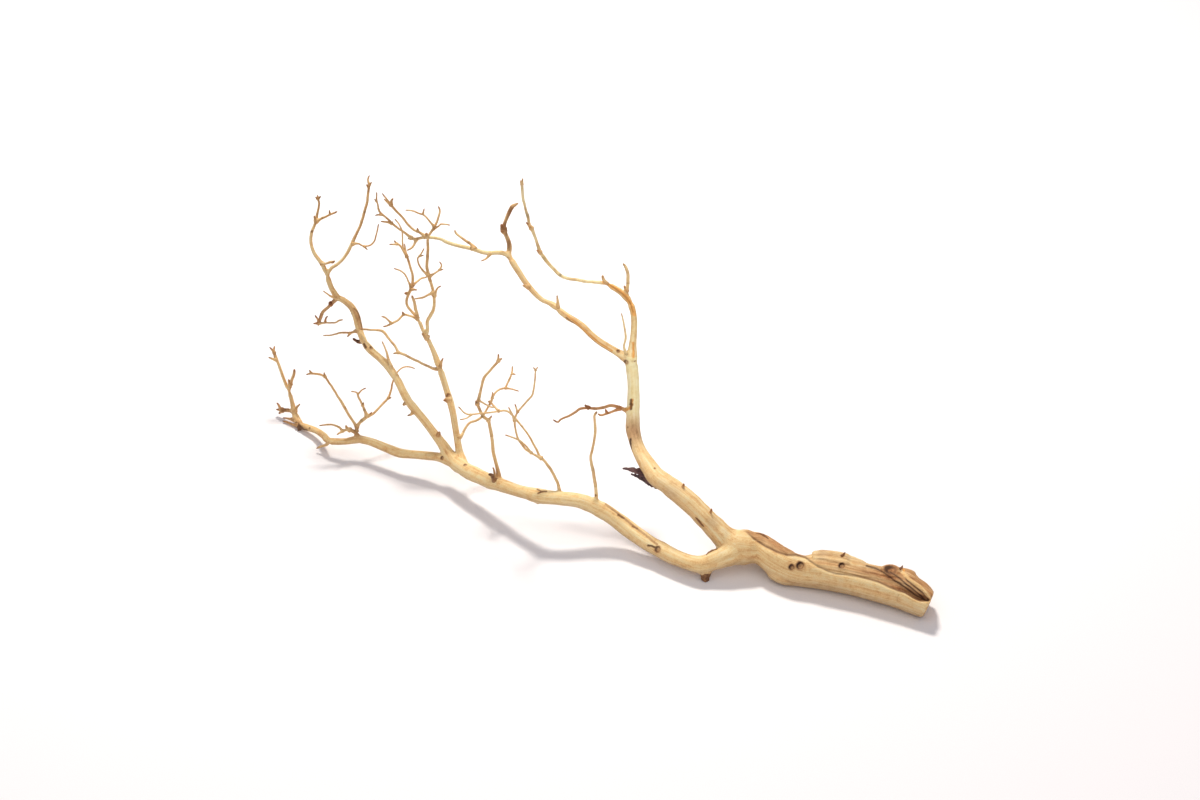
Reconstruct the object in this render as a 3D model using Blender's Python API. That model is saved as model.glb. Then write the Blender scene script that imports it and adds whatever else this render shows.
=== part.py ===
"""Manzanita driftwood: one bare, sand-blasted branch that lies on a table.

Run it with  blender --background --python part.py  or from the text editor.

A saw-cut trunk forks into a left and a right limb, and these fork again into
slender branches and twigs. The branch is drawn over one view of it: each route
point says how far across and down it lies in that view, and how thick the wood
is there. Main limbs also give their height above the table at each point. A
twig starts on the limb that carries it and spreads in the plane of the fan,
which leans back from the viewer, unless it is given a lean of its own.
The wood is split at its main forks, and each stretch is one closed solid.
"""

import math

import bmesh
import bpy
from mathutils import Vector

MM = 0.001

# The view that the branch is drawn over. One view unit is about 1.12 mm on the wood.
VIEW_TILT = math.radians(38)
VIEW_DISTANCE = 3.173
VIEW_FOCAL = 2833.0
VIEW_MIDDLE = (600.0, 400.0)
VIEW_AIM_HEIGHT = 0.120

# The table point that becomes the origin: the middle of the branch's footprint.
FOOTPRINT_MIDDLE = Vector((-0.0129, -0.0264, 0.0))

# The fan leans back, so a point one view unit higher in it is this much higher above the table.
FAN_RISE = 1.055 * MM

# Neighbouring solids keep this gap at the cuts between them.
SPLIT_GAP = 0.3 * MM

# How far a tube may run straight past the true curve, on limbs and on twigs.
LIMB_TOLERANCE = 1.2 * MM
TWIG_TOLERANCE = 0.8 * MM

TRUNK_SIDES = 24
TRUNK_RING_STEP = 10.0 * MM

# Faces that meet at less than this angle are shaded as one round surface.
SHARP_RIM = math.radians(70)

# Wood colours, as linear red, green and blue.
PALE_WOOD = (0.80, 0.60, 0.33)
TAN_WOOD = (0.66, 0.46, 0.26)
BROWN_WOOD = (0.38, 0.22, 0.12)

# Route points: across, down, thickness in mm, height of the middle of the wood in mm.
TRUNK = [
    (928, 601.5, 37, 18.5), (915, 595.5, 40, 20), (900, 588.5, 43, 21.3), (880, 583.5, 42, 21),
    (860, 579, 40.5, 20.2), (840, 574.5, 40.5, 20.2), (820, 571, 40, 20), (803, 570, 36.5, 19),
    (790, 566.5, 38, 20), (775, 558.5, 39, 22), (760, 548.5, 36, 25), (748, 547, 37.5, 27),
    (736, 545.5, 32, 29),
]
RIGHT_LIMB = [
    (748, 547.5, 31, 27), (736, 545.5, 29, 30), (727, 540, 25, 35), (719, 532, 23, 43),
    (711, 523.5, 22.5, 51), (703, 515.5, 22, 59), (692, 504.5, 22, 68), (680, 494, 22, 76),
    (668, 485, 21, 81), (656, 476, 20.5, 85), (647, 464, 17.5, 89), (640, 452, 15.5, 94),
    (635.5, 440, 15, 100), (633, 428, 16, 108), (633, 415, 15, 121), (633.5, 400, 13.5, 136),
    (633.5, 385, 13, 152), (632.5, 372, 13.5, 166), (631, 361, 14.5, 178),
]
LEFT_LIMB = [
    (748, 547.5, 28, 27), (737, 550, 26, 27), (727, 555, 22.5, 26), (717, 559.5, 20.5, 23),
    (708, 563, 19.5, 19.8), (699, 564.5, 19, 18.2), (688, 562, 17.5, 18), (676, 557.5, 17.5, 18),
    (663, 551, 18, 18.5), (650, 544, 18, 20), (638, 536, 18, 24), (626, 527, 18, 29),
    (614, 518, 18, 36), (602, 510.5, 18, 43), (590, 504.5, 17, 49), (578, 500.5, 16, 54),
    (564, 498.5, 15.5, 57), (550, 497.5, 15.5, 58), (539, 496, 16.5, 57.5), (527, 493, 14, 54.5),
    (514, 489.5, 13.5, 49.5), (502, 485.5, 15, 45), (490, 481.5, 16, 41), (478, 476, 17, 38),
    (467, 470.5, 17.5, 36.5), (456.5, 464, 16.5, 36),
]
LOW_LEFT_BRANCH = [
    (465, 469, 12.5, 36.6), (448, 460, 12, 34.5), (438, 457, 10, 33), (425, 455.5, 9.5, 29),
    (411, 454.3, 9.5, 26.5), (400, 453, 10.5, 26), (389, 449, 10, 26), (378, 444.5, 9.5, 26.5),
    (368, 441, 9, 26.5), (358, 439.5, 9, 25.5), (346, 441.3, 7.5, 23), (335, 441.5, 7.5, 20.5),
    (328, 440.3, 8, 19), (323.5, 435.5, 7.5, 15.5), (316, 430.5, 7, 11), (307, 427.5, 7.5, 7.5),
    (301, 425, 8.2, 6), (297, 419.5, 8, 8), (294.3, 412, 7, 14), (292.5, 404, 5, 22),
    (290.5, 396, 4.5, 30), (287.5, 388, 4, 38), (284, 379.5, 3.6, 47), (281, 371, 3.4, 56),
    (278.3, 363.5, 3.3, 64), (275.8, 357.5, 3.5, 70), (274, 352, 2.3, 76),
]
TALL_LEFT_BRANCH = [
    (461, 467.5, 14, 35), (451, 457, 14, 38), (446, 450, 12.5, 42), (440, 441, 10.5, 50.5),
    (432, 430.5, 9, 61), (424, 420, 9, 71), (416, 410.5, 9, 80.5), (408.5, 401.5, 9.5, 89),
    (403.5, 392.5, 8.8, 96), (399, 383, 8.5, 103), (393.5, 373.5, 9, 110), (387, 365, 9, 116),
    (379, 357.5, 8, 121), (371, 350.5, 8.3, 126), (365, 343, 8, 132), (361, 334.5, 7.5, 139),
    (358.5, 325, 8.5, 147), (356, 315.5, 8.5, 156), (351.5, 307, 7.5, 163.5), (344.5, 301, 6.8, 168),
    (337.5, 296.5, 6.8, 172), (332.5, 290, 6.2, 179), (329.3, 282.5, 5.8, 187), (327.3, 275, 5.8, 195),
]
TALL_LEFT_HOOK = [
    (327.3, 275, 5.4, 195), (323.5, 266.5, 4.8, 203), (319.5, 260.5, 4.2, 209), (315, 254.5, 3.8, 215),
    (312, 247.5, 3.7, 222), (310.8, 240, 3.5, 229), (311.8, 232, 3.5, 237), (314.3, 226, 3.3, 243),
    (316.3, 220.5, 3.3, 248), (317, 214.5, 2.1, 254), (318.5, 208.5, 1.9, 260), (319, 203.5, 1.8, 265),
    (318, 199, 1.7, 269), (317.5, 194.5, 1, 273),
]
TALL_RIGHT_WAND = [
    (327.3, 275, 5, 195), (331, 268.5, 3.7, 202), (337, 264.5, 3.4, 207), (343, 259, 3.4, 213),
    (347.5, 252.5, 3.6, 220), (350.8, 246, 3.7, 227), (354, 239, 3.2, 234), (357.5, 232, 2.7, 241),
    (360.5, 225, 2.6, 248), (363, 217, 2.7, 256), (365.3, 209, 2.6, 264), (367.3, 201, 2.4, 272),
    (368.3, 192.5, 2.3, 280), (369, 184, 2.2, 288), (368, 179.5, 1.5, 292), (369.5, 175, 0.9, 296),
]
INNER_BRANCH = [
    (463, 466.5, 11, 35.5), (460, 455, 9, 43), (458.5, 447, 7.8, 51), (456.7, 436, 7.2, 62),
    (455, 425, 7, 73), (453, 413, 7.3, 85), (450.3, 402, 7.8, 95), (447.3, 392, 7, 104),
    (444.3, 382, 6.8, 114), (441, 372, 7, 124), (437.5, 362, 7, 133), (434, 352.5, 5.5, 142),
    (430, 343.5, 4.8, 151), (426.8, 336.5, 4.8, 158),
]
INNER_RIGHT_WAND = [
    (426.8, 336.5, 4.4, 158), (427.3, 329, 4, 166), (427.5, 321, 3.8, 174), (430.5, 315.5, 3.8, 179),
    (433.5, 309.5, 3.6, 185), (434.3, 302, 3.2, 193), (433.8, 294.5, 3.6, 200), (432.3, 287.5, 3.4, 207),
    (430, 280, 3.3, 215), (428, 273, 3, 222), (426.8, 265.5, 2.8, 230), (427.3, 257.5, 2.8, 238),
    (428, 249, 2.7, 246), (427.8, 241, 2.5, 254), (429.3, 234.5, 2.3, 260), (433.5, 228.3, 2.3, 266),
    (437, 222, 2, 272), (439, 215, 1.8, 279), (440, 210.5, 1.6, 283), (438.3, 206, 1, 287),
]
INNER_LEFT_WAND = [
    (426.8, 336.5, 4.4, 158), (422.8, 329.5, 4, 164), (420.2, 323.5, 4, 170), (417.3, 317, 3.6, 176),
    (413, 312.8, 2.6, 180), (408.3, 307.5, 2.4, 185), (406.5, 302.5, 2.4, 189), (407.8, 296, 2.6, 195),
    (410.5, 290, 3, 201), (412.3, 284, 2.6, 206), (412.8, 277, 2.3, 213), (411, 269.5, 2.2, 221),
    (408.8, 262, 2.2, 228), (406.5, 256, 2.2, 234), (403.5, 251, 1.9, 239), (400.5, 246, 1.8, 244),
    (396.8, 243.5, 1.8, 246.5), (394.3, 240.3, 1.2, 250),
]
CROSSING_BRANCH = [
    (631, 361, 11, 178), (625, 357, 9.5, 181), (618.5, 353, 8, 184), (610, 348, 7.6, 188),
    (600, 341.8, 7.3, 194), (591, 334.5, 7.2, 200), (584, 327.5, 7.2, 207), (577, 322, 6.8, 212),
    (569, 317.5, 7.2, 216), (561.5, 312, 6.8, 221), (555.5, 306.5, 7.2, 226), (549, 302.8, 5.2, 230),
    (542.5, 300, 5.2, 233), (536.5, 295, 5.6, 238), (531, 289, 6, 244), (525, 281.5, 6.2, 251),
    (519.5, 273, 6.5, 259), (514, 264.5, 6.8, 267), (510, 257, 6.4, 273), (509, 252, 5.6, 277),
    (509.5, 246.5, 5, 282), (508.3, 240.5, 4.5, 288), (505.8, 234.5, 4.5, 293), (503.7, 228.5, 5, 299),
    (505, 222.5, 3.7, 305), (507.8, 215.5, 4.2, 311), (510.8, 209, 4.4, 317), (512.8, 206.3, 3.8, 319.5),
    (515.5, 204.8, 2.6, 321), (518.3, 202.8, 1.2, 323),
]
CROSSING_WAND = [
    (510, 257, 6, 273), (504, 253.3, 5, 277), (497, 252.6, 4.6, 278), (490.5, 253, 4.5, 278),
    (483, 252.3, 4.4, 279), (476, 250, 4.4, 282), (469, 248, 4.2, 284), (461, 246.3, 4, 286),
    (453, 244.3, 4, 288), (446, 241.8, 3.8, 291), (440.5, 239, 3.4, 294), (434, 237.8, 3.3, 295),
    (427, 237.2, 3.3, 296), (420.5, 238, 2.8, 295), (415.5, 239, 2.6, 294), (411, 238.3, 2.4, 295),
    (407.8, 238.5, 1.4, 295),
]
RIGHT_TOP_BRANCH = [
    (631, 361, 12.5, 178), (632, 352, 9.5, 186), (632.8, 343, 8, 195), (633.8, 333, 7.2, 205),
    (634.2, 323, 6.8, 215), (633.3, 313, 6.8, 225), (630.8, 304.5, 7.3, 233), (626.5, 297.3, 7.8, 240),
    (620.5, 291.7, 7, 246), (613, 287.3, 6, 250), (605.5, 283.3, 5, 254), (598, 282.3, 3.3, 255),
    (588, 281.7, 2.9, 256), (578, 280, 2.9, 258), (568.5, 278.6, 3, 259), (561, 275.6, 3.3, 262),
    (555, 270.3, 3.3, 267), (549, 263.8, 3.3, 274), (543.5, 257, 3.3, 281), (539.5, 250.3, 3.2, 288),
    (537, 243, 2.8, 295), (534.6, 235.5, 2.8, 303), (532.2, 229.5, 3.6, 309), (529.3, 223.5, 2.8, 315),
    (527.8, 216.5, 2.5, 322), (525.5, 208.5, 2.3, 330), (523.5, 200.5, 2.5, 338), (522.3, 192, 2.7, 346),
    (522, 185.5, 2.4, 352), (520.5, 180.5, 1.4, 357),
]

# Each solid after the trunk: what it grows on, its route, and how far along the route the cut before it is.
LIMBS = {
    "right_limb": ("trunk", RIGHT_LIMB, 64 * MM),
    "left_limb": ("trunk", LEFT_LIMB, 38 * MM),
    "low_left_branch": ("left_limb", LOW_LEFT_BRANCH, 38 * MM),
    "tall_left_branch": ("left_limb", TALL_LEFT_BRANCH, 36 * MM),
    "tall_left_hook": ("tall_left_branch", TALL_LEFT_HOOK, 11 * MM),
    "tall_right_wand": ("tall_left_branch", TALL_RIGHT_WAND, 11 * MM),
    "inner_branch": ("left_limb", INNER_BRANCH, 39 * MM),
    "inner_right_wand": ("inner_branch", INNER_RIGHT_WAND, 9 * MM),
    "inner_left_wand": ("inner_branch", INNER_LEFT_WAND, 9 * MM),
    "right_top_branch": ("right_limb", RIGHT_TOP_BRANCH, 20 * MM),
    "crossing_branch": ("right_limb", CROSSING_BRANCH, 20 * MM),
    "crossing_wand": ("crossing_branch", CROSSING_WAND, 13 * MM),
}

# Twigs long enough to be solids of their own, and how far along each the cut before it is.
TWIG_CUTS = {
    "straight_twig": 15 * MM,
    "short_spray": 14 * MM,
    "leaning_twig": 14 * MM,
    "leaning_fork": 7 * MM,
    "long_straw": 14 * MM,
    "lone_sprig": 7 * MM,
    "inner_straw": 9 * MM,
    "base_whip": 8 * MM,
    "dark_twig": 13 * MM,
}

# Twigs: name, the limb or twig it grows on, lean in mm at its tip towards the viewer (negative is away),
# and its route: across, down, thickness in mm. Twigs that carry no others share a plain running name.
TWIGS = [
    # On the left limb.
    ("straight_twig", "left_limb", 4, [
        (597, 507, 5), (596.3, 496, 3.8), (595.5, 486, 3.3), (594.3, 478, 3.1), (592.5, 468, 2.9),
        (590.5, 458.5, 2.6), (592, 451, 2.3), (594.3, 440, 2.3), (595.2, 429, 2.5), (594.5, 419, 2.2),
        (594.8, 415, 2), (597, 411.5, 1.6)]),
    ("short_spray", "left_limb", 0, [
        (499.5, 484, 7), (498.3, 473, 4.8), (496, 463, 3.9), (493.3, 452, 3.6), (492.3, 441, 3.5),
        (490.5, 429, 3.1), (488.3, 420.5, 3.2), (483.5, 416.5, 2.9), (480, 410.5, 2.8), (477.3, 403, 2.7),
        (479.3, 397, 2.7), (481.3, 388, 2.5), (484, 377.8, 2.6), (490, 370.5, 2.3), (498.3, 361.3, 2.3),
        (502.3, 358.3, 1.3)]),
    ("spray_tip", "short_spray", 4, [(498.3, 361.3, 2.2), (498.4, 354, 1.2)]),
    ("spray_spur", "short_spray", 10, [(488.3, 420.5, 2.4), (491.6, 416, 1)]),
    ("spray_nub", "short_spray", 5, [(477.8, 404, 2.6), (475.8, 401, 1.6)]),
    ("spray_thread", "short_spray", -14, [
        (478.3, 400, 1.8), (485, 404, 1.3), (491, 407, 1.2), (496, 407.3, 0.9)]),
    ("leaning_twig", "left_limb", 0, [
        (560.5, 498, 4.5), (558, 484, 2.9), (551.5, 471, 2.6), (543.5, 460, 2.5), (540, 457, 2.4),
        (537, 450.5, 2), (530, 437.5, 1.7), (523, 427.5, 1.5), (516.5, 420, 1.9), (511.5, 414.3, 1.7),
        (506.5, 411, 1.7), (499, 411.2, 1.5), (490, 412.6, 1.3), (480, 413.4, 1.3), (470, 414.4, 1.3),
        (464, 412.4, 1.1), (458.5, 406.5, 0.8)]),
    ("leaning_fork", "leaning_twig", 26, [
        (541.5, 458.5, 2.4), (535, 455, 2), (527, 450.3, 2), (521.5, 444, 1.9), (517.8, 438.5, 1.7),
        (515.6, 430, 1.5), (514.8, 421, 1.9), (517, 413.5, 1.5), (521, 408, 1.6), (527.5, 400.5, 1.6),
        (532.3, 395, 1.6), (534.2, 386, 1.4), (535.3, 376, 1.2), (535.8, 370, 1), (538, 367, 0.8)]),
    ("leaning_thread", "leaning_fork", 14, [
        (531, 452.8, 1.7), (525.5, 445.5, 1.4), (519.5, 440.3, 1.2), (512, 437.3, 1.2), (505.3, 434.8, 0.9)]),
    ("leaning_spur", "leaning_fork", 3, [(514.8, 421, 1.9), (512, 413.8, 1.6), (508.4, 407.3, 1)]),
    ("leaning_spur", "leaning_fork", 5, [(517.5, 412, 1.5), (515, 404, 1)]),
    ("leaning_spur", "leaning_fork", 2, [(535.8, 370.5, 1), (533.5, 367, 0.8)]),
    ("leaning_spur", "leaning_twig", -10, [(499, 411.2, 1.8), (494, 406, 1.7), (490.8, 402.6, 1.4)]),
    ("leaning_spur", "leaning_twig", 4, [(471.5, 414.3, 1.2), (466, 418.5, 1), (460, 419.6, 0.8)]),
    ("elbow_stub", "left_limb", 0, [(539, 496, 7), (537.5, 504.5, 3.5)]),
    ("spray_foot_stub", "left_limb", 16, [(496, 483, 6), (492, 475.5, 3.6), (489, 474.5, 2)]),
    ("spray_foot_spike", "left_limb", 12, [(496, 483, 4), (494.5, 473, 2.2), (492.8, 467.5, 1)]),
    # On the low left branch.
    ("low_tip_fork", "low_left_branch", 3, [(274.2, 353, 2), (272.5, 350, 1.7), (269.5, 347.3, 1)]),
    ("low_tip_fork", "low_left_branch", -3, [(274.2, 353, 2), (273.8, 350, 1.8), (274.7, 346.3, 1.4)]),
    ("low_tip_fork", "low_left_branch", 3, [(276.2, 359.5, 2.4), (272, 358.6, 1.8), (268.5, 357.4, 1.1)]),
    ("low_horn", "low_left_branch", 7, [
        (288.7, 391, 4.2), (290.6, 385, 3.3), (291.8, 380, 3.1), (294, 374.5, 2.8), (294.4, 369.5, 2.2)]),
    ("low_horn_nub", "low_horn", 2, [(290.6, 385, 2.8), (288.6, 379.4, 1.8)]),
    ("low_thread", "low_left_branch", 4, [(294.6, 413, 3), (297, 407, 1.8), (300, 403.8, 1)]),
    ("claw", "low_left_branch", -9, [
        (294.8, 413, 5), (290, 410.5, 4.2), (284, 410, 4), (281, 409.2, 3.4), (279, 405.5, 2.1),
        (276.8, 402.8, 1.2)]),
    ("claw_finger", "claw", -3, [(282, 410, 3), (276.3, 409.3, 1)]),
    ("claw_finger", "claw", -4, [(283, 410, 3), (279, 413.5, 1.4)]),
    ("claw_finger", "low_left_branch", -4, [(297, 419.5, 4), (289.5, 418.8, 2.2), (283, 417.8, 1.1)]),
    ("claw_finger", "low_left_branch", -7, [(300, 424, 4), (293, 424.5, 2), (287, 422, 1.6), (282.5, 421, 1)]),
    ("corner_twig", "low_left_branch", -6, [
        (329, 440.5, 5), (326.3, 444.6, 2.9), (321, 446.5, 2.2), (316.3, 448.4, 1)]),
    ("curl_twig", "low_left_branch", 5, [
        (359, 439.5, 6.5), (356.5, 434, 5), (352.5, 430.8, 3.6), (347.5, 429.8, 2.7), (342.5, 430.6, 2.4),
        (339.5, 427.5, 2.1), (334, 425, 1.6), (327, 424.6, 1.4), (319, 425.6, 0.9)]),
    ("curl_spur", "curl_twig", 6, [(343, 430.5, 1.9), (339.5, 432.8, 1.5), (337, 434.8, 0.9)]),
    ("curl_spur", "curl_twig", 4, [(350, 430.2, 3), (346.6, 427.6, 2.4), (346, 425.4, 1.8)]),
    ("long_straw", "low_left_branch", 8, [
        (358.5, 439.5, 6), (356.8, 431, 3.8), (355.3, 425, 2.9), (350.5, 417.5, 2.4), (344.3, 406.8, 2.7),
        (338, 396.5, 2.1), (331, 385.5, 2), (326, 378.3, 2), (321.5, 375, 2.1), (315.5, 373.8, 2),
        (310.5, 373.5, 1.8), (306, 374.6, 0.9)]),
    ("straw_nub", "long_straw", 1, [(324.8, 377.3, 1.9), (324, 372.3, 1.2)]),
    ("straw_nub", "long_straw", 1, [(311.3, 373.5, 1.6), (309.4, 369.8, 0.9)]),
    ("lone_sprig", "long_straw", -18, [
        (356, 427.5, 3.2), (360, 422.5, 2.7), (366.3, 417, 3.8), (371, 415.2, 2.4), (377, 410, 2),
        (384, 402.5, 2), (388.5, 397.5, 2), (391, 390.5, 1.8), (392.5, 383, 1.4), (394.5, 376.5, 1.2),
        (399, 370.5, 1.1), (404, 367.2, 1.1), (410, 366.8, 1), (415, 368.6, 0.8)]),
    ("sprig_post", "lone_sprig", 6, [
        (367, 416.8, 3), (364.3, 409.5, 2.2), (361, 402, 2), (358.3, 397, 1.8), (357.3, 393, 1.2),
        (355, 391.8, 1.1), (351, 391.4, 0.8)]),
    ("post_spur", "sprig_post", 3, [(357.8, 394.5, 1.2), (361.5, 390.3, 1), (366, 388, 0.8)]),
    ("post_spur", "sprig_post", 2, [(362.6, 406, 1.8), (363.4, 402.3, 1)]),
    ("post_spur", "lone_sprig", 3, [(368, 416.2, 2), (371.8, 412.2, 0.9)]),
    ("post_spur", "lone_sprig", 2, [(388, 398.2, 1.7), (391.3, 397.3, 0.9)]),
    # On the tall left branch.
    ("tall_thorn", "tall_left_branch", 2, [(415, 409.5, 4), (411.2, 414.3, 2), (407.3, 415.6, 0.8)]),
    ("tall_nub", "tall_left_branch", 0, [(408.5, 401.5, 6), (402.8, 405.2, 2.4)]),
    ("tall_nub", "tall_left_branch", 3, [(437, 437, 5), (439.8, 431.8, 1.6)]),
    ("ridge_twig", "tall_left_branch", -4, [
        (396.5, 378.5, 5), (391, 366, 3.6), (388, 358.5, 2.6), (386.4, 351, 1.6), (382, 341.2, 0.9)]),
    ("black_stub", "tall_left_branch", -8, [(364.5, 342, 5), (358, 341.5, 3.3), (353, 338.6, 2.2)]),
    ("lone_thread", "tall_left_branch", -12, [
        (360, 331.5, 4), (356.3, 330.8, 2.6), (350.5, 332.8, 2), (343, 332.6, 1.8), (336, 333.9, 1.4),
        (330, 335.4, 1.2), (323, 335.6, 0.8)]),
    ("thread_spur", "lone_thread", 3, [(350.5, 332.8, 1.6), (347.4, 336.8, 1)]),
    ("droop_arm", "tall_left_branch", -8, [
        (338, 297, 6), (333.5, 301.7, 4.4), (328, 307.3, 3.5), (323, 311.8, 3.7), (320.8, 317, 3.2),
        (318, 325.5, 1.8)]),
    ("droop_spur", "droop_arm", 2, [(331.5, 303.7, 3.4), (328.8, 302.6, 1.8)]),
    ("droop_spur", "droop_arm", 2, [(318.8, 323, 2), (313.3, 323.6, 1)]),
    ("droop_spur", "droop_arm", 4, [(319.3, 321.3, 2), (315, 315.3, 1)]),
    ("droop_thread", "droop_arm", 10, [
        (318.8, 322.8, 2), (326, 322.8, 1.5), (335, 322.8, 1.3), (339.5, 320.4, 1.4), (342.8, 320, 0.8)]),
    ("droop_spur", "droop_thread", 2, [(325, 322.8, 1.6), (325.6, 318.8, 1.4), (327.8, 316, 0.8)]),
    ("tall_thread", "tall_left_branch", 6, [(337.5, 297, 4), (331, 296.2, 1.7), (323, 290.8, 0.8)]),
    # On the two prongs above it.
    ("hook_finger", "tall_left_hook", 1, [(318, 199, 1.6), (315.4, 196.8, 0.8)]),
    ("hook_finger", "tall_left_hook", 1, [(318, 199, 1.6), (320.8, 196, 0.9)]),
    ("hook_thumb", "tall_left_hook", 6, [
        (316.5, 221, 3), (321.5, 218.6, 2.1), (327, 216, 1.9), (333, 213.5, 1.8), (337.3, 211.2, 1)]),
    ("hook_spur", "hook_thumb", 1, [(330, 214.7, 1.5), (329.2, 209.8, 0.8)]),
    ("hook_spur", "tall_left_hook", 2, [(316.3, 221, 2.6), (314, 215.6, 1.3)]),
    ("hook_arm", "tall_left_hook", 8, [
        (321.5, 263.3, 3), (325.3, 263.8, 1.9), (330.5, 262, 2.4), (332.8, 262.3, 2.8), (335, 260.8, 1)]),
    ("wand_hook", "tall_right_wand", 4, [
        (352, 243.8, 3), (358, 243.5, 1.5), (363, 245.8, 1.4), (369, 245.8, 1.3), (373.8, 242.2, 1.3),
        (376, 235.5, 1.1), (378.5, 223.8, 0.8)]),
    ("wand_spur", "wand_hook", 1, [(363.5, 245.8, 1.4), (367.6, 249.8, 0.8)]),
    ("wand_spur", "tall_right_wand", 1, [(369, 185.5, 1.7), (371.7, 181.8, 0.8)]),
    ("wand_spur", "tall_right_wand", 1, [(369, 187, 1.7), (366.2, 184.3, 0.8)]),
    # On the inner branch and its two prongs.
    ("inner_thorn", "inner_branch", 3, [(440, 369, 4.5), (441.5, 361.8, 2.2), (443.2, 358, 0.8)]),
    ("inner_nub", "inner_branch", 3, [(449.5, 399.5, 5), (443.3, 400.4, 1)]),
    ("inner_nub", "inner_branch", 2, [(427.6, 338, 4), (421.8, 333.4, 1.5)]),
    ("inner_straw", "inner_branch", -22, [
        (439.8, 369, 5), (434, 368.6, 2.9), (424, 364.4, 2.3), (411, 358, 2.3), (402, 353.7, 2.5),
        (397.8, 351.5, 2.4), (395, 345.8, 2.2), (388.5, 338, 2.2), (383, 331.3, 2.6), (375, 330.2, 1.7),
        (366, 329.3, 1.5), (360.5, 329, 1.1)]),
    ("straw_spur", "inner_straw", 1, [(398.5, 353, 2.2), (393.2, 353.6, 1)]),
    ("base_whip", "inner_branch", -24, [
        (456.9, 438, 4), (461.5, 435.5, 2.6), (465.3, 428.5, 2.2), (469.5, 423, 2.2), (476, 420.6, 2.2),
        (482, 416.4, 2.3), (486, 410.5, 1.8), (490.8, 402, 2.2), (492.6, 397.5, 1.9), (495, 393, 1.8),
        (499.5, 389.3, 1.7), (505, 388, 1.8), (507.5, 383.5, 1.7), (510.5, 377, 1.6), (512.2, 371, 1.4),
        (512.2, 366, 0.9)]),
    ("whip_spur", "base_whip", 3, [(505, 388, 1.7), (510.5, 388.7, 1.3), (519, 391.3, 0.8)]),
    ("whip_spur", "base_whip", 2, [(512, 374, 1.5), (515.6, 374.3, 0.8)]),
    ("whip_spur", "base_whip", 3, [(492.4, 398, 1.7), (492.6, 392, 0.8)]),
    ("whip_spur", "base_whip", 2, [(490.8, 402, 2.2), (488, 401.2, 1)]),
    ("wand_loop", "inner_right_wand", 5, [
        (433.8, 293, 2.8), (429.3, 294.2, 1.9), (423, 297.5, 1.7), (414.5, 299, 1)]),
    ("loop_spur", "inner_right_wand", 3, [
        (434, 296, 2.6), (436.3, 290.3, 1.7), (438.2, 287.5, 1.3), (441.3, 286, 0.8)]),
    ("cross_left", "inner_right_wand", 5, [
        (428.7, 275.5, 2.6), (423.3, 271, 1.7), (419, 264.7, 1.5), (417.6, 258.4, 1.3), (419.5, 256.4, 1.3),
        (423.8, 255.2, 0.9)]),
    ("loop_spur", "cross_left", 1, [(419.2, 256.7, 1.2), (424.2, 248.3, 0.8)]),
    ("cross_right", "inner_right_wand", -8, [
        (429, 276.5, 2.6), (434, 273.7, 1.6), (439, 270.6, 1.5), (443.2, 269.3, 0.9)]),
    ("loop_spur", "cross_right", -2, [(439, 270.6, 1.4), (441.6, 265.4, 1.2), (439.3, 261.6, 0.8)]),
    ("top_fan", "inner_right_wand", 6, [
        (434.5, 227, 2), (430.5, 222.4, 1.5), (424.5, 215.5, 1.4), (419.5, 213.5, 1.3), (412.5, 211, 1.2),
        (405.5, 210.2, 0.8)]),
    ("fan_spur", "top_fan", 1, [(423, 214.5, 1.3), (424.3, 208.5, 0.8)]),
    ("fan_spur", "inner_right_wand", -5, [
        (433.5, 229, 2), (438.5, 226.4, 1.3), (441.5, 224, 1.3), (450.3, 225.2, 0.8)]),
    ("left_post", "inner_left_wand", 7, [
        (417.8, 318.5, 3.4), (415.9, 310, 3.1), (414.2, 302, 2.8), (411.8, 295.4, 1.8)]),
    ("left_arm", "inner_left_wand", 9, [
        (418.3, 319, 2.8), (411, 316.2, 1.9), (403.8, 314.9, 2), (398, 320.3, 1.9), (391.5, 323.6, 2.1),
        (386.5, 325.8, 1.4), (382.8, 326.6, 0.9)]),
    ("arm_spur", "left_arm", 1, [(404.2, 315, 1.9), (402.3, 311.8, 1.1)]),
    ("arm_spur", "left_arm", 4, [(391.8, 323.4, 1.8), (387.5, 319.5, 1.4), (384.8, 317.2, 1.6), (381.5, 316.3, 0.8)]),
    ("left_bud", "inner_left_wand", 2, [(408.8, 293.5, 2.4), (404.5, 293.3, 1.8)]),
    ("left_bud", "inner_left_wand", 2, [(411, 289, 2.2), (417.3, 290.1, 0.9)]),
    ("left_thread", "inner_left_wand", 7, [
        (411.4, 287.3, 2.2), (408.6, 281.5, 1.4), (404.3, 273.6, 1.3), (399, 270.3, 1.1), (393.8, 268.3, 0.8)]),
    ("left_bridge", "inner_left_wand", -12, [
        (411.8, 286, 2.4), (417.5, 281.3, 1.7), (421.5, 278.3, 1.6), (427, 277.2, 1)]),
    ("left_tine", "inner_left_wand", -5, [
        (407, 257.3, 2.2), (404, 250, 1.5), (402.5, 242, 1.2), (402.3, 232, 1.1), (399.5, 225, 1),
        (394.5, 218.8, 0.8)]),
    ("left_tine", "inner_left_wand", -2, [(406.6, 256, 1.8), (405.4, 249.5, 1.3), (404.6, 243.5, 0.8)]),
    ("left_tine", "inner_left_wand", 3, [(397.5, 244, 1.6), (389.3, 244.5, 0.8)]),
    # On the right limb.
    ("dark_twig", "right_limb", -10, [
        (633, 412, 8), (626, 410.3, 5), (620.5, 407.8, 3.5), (611.5, 405.7, 3), (604, 407.2, 2.8),
        (596, 408.6, 2.6), (588, 407.9, 2.5), (580.5, 408.6, 2.3), (575.5, 412, 2.4), (567.5, 416.5, 2),
        (561, 419.3, 1.7), (557.8, 422.3, 1.4), (553, 419.6, 0.9)]),
    ("dark_curl", "dark_twig", 7, [
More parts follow.
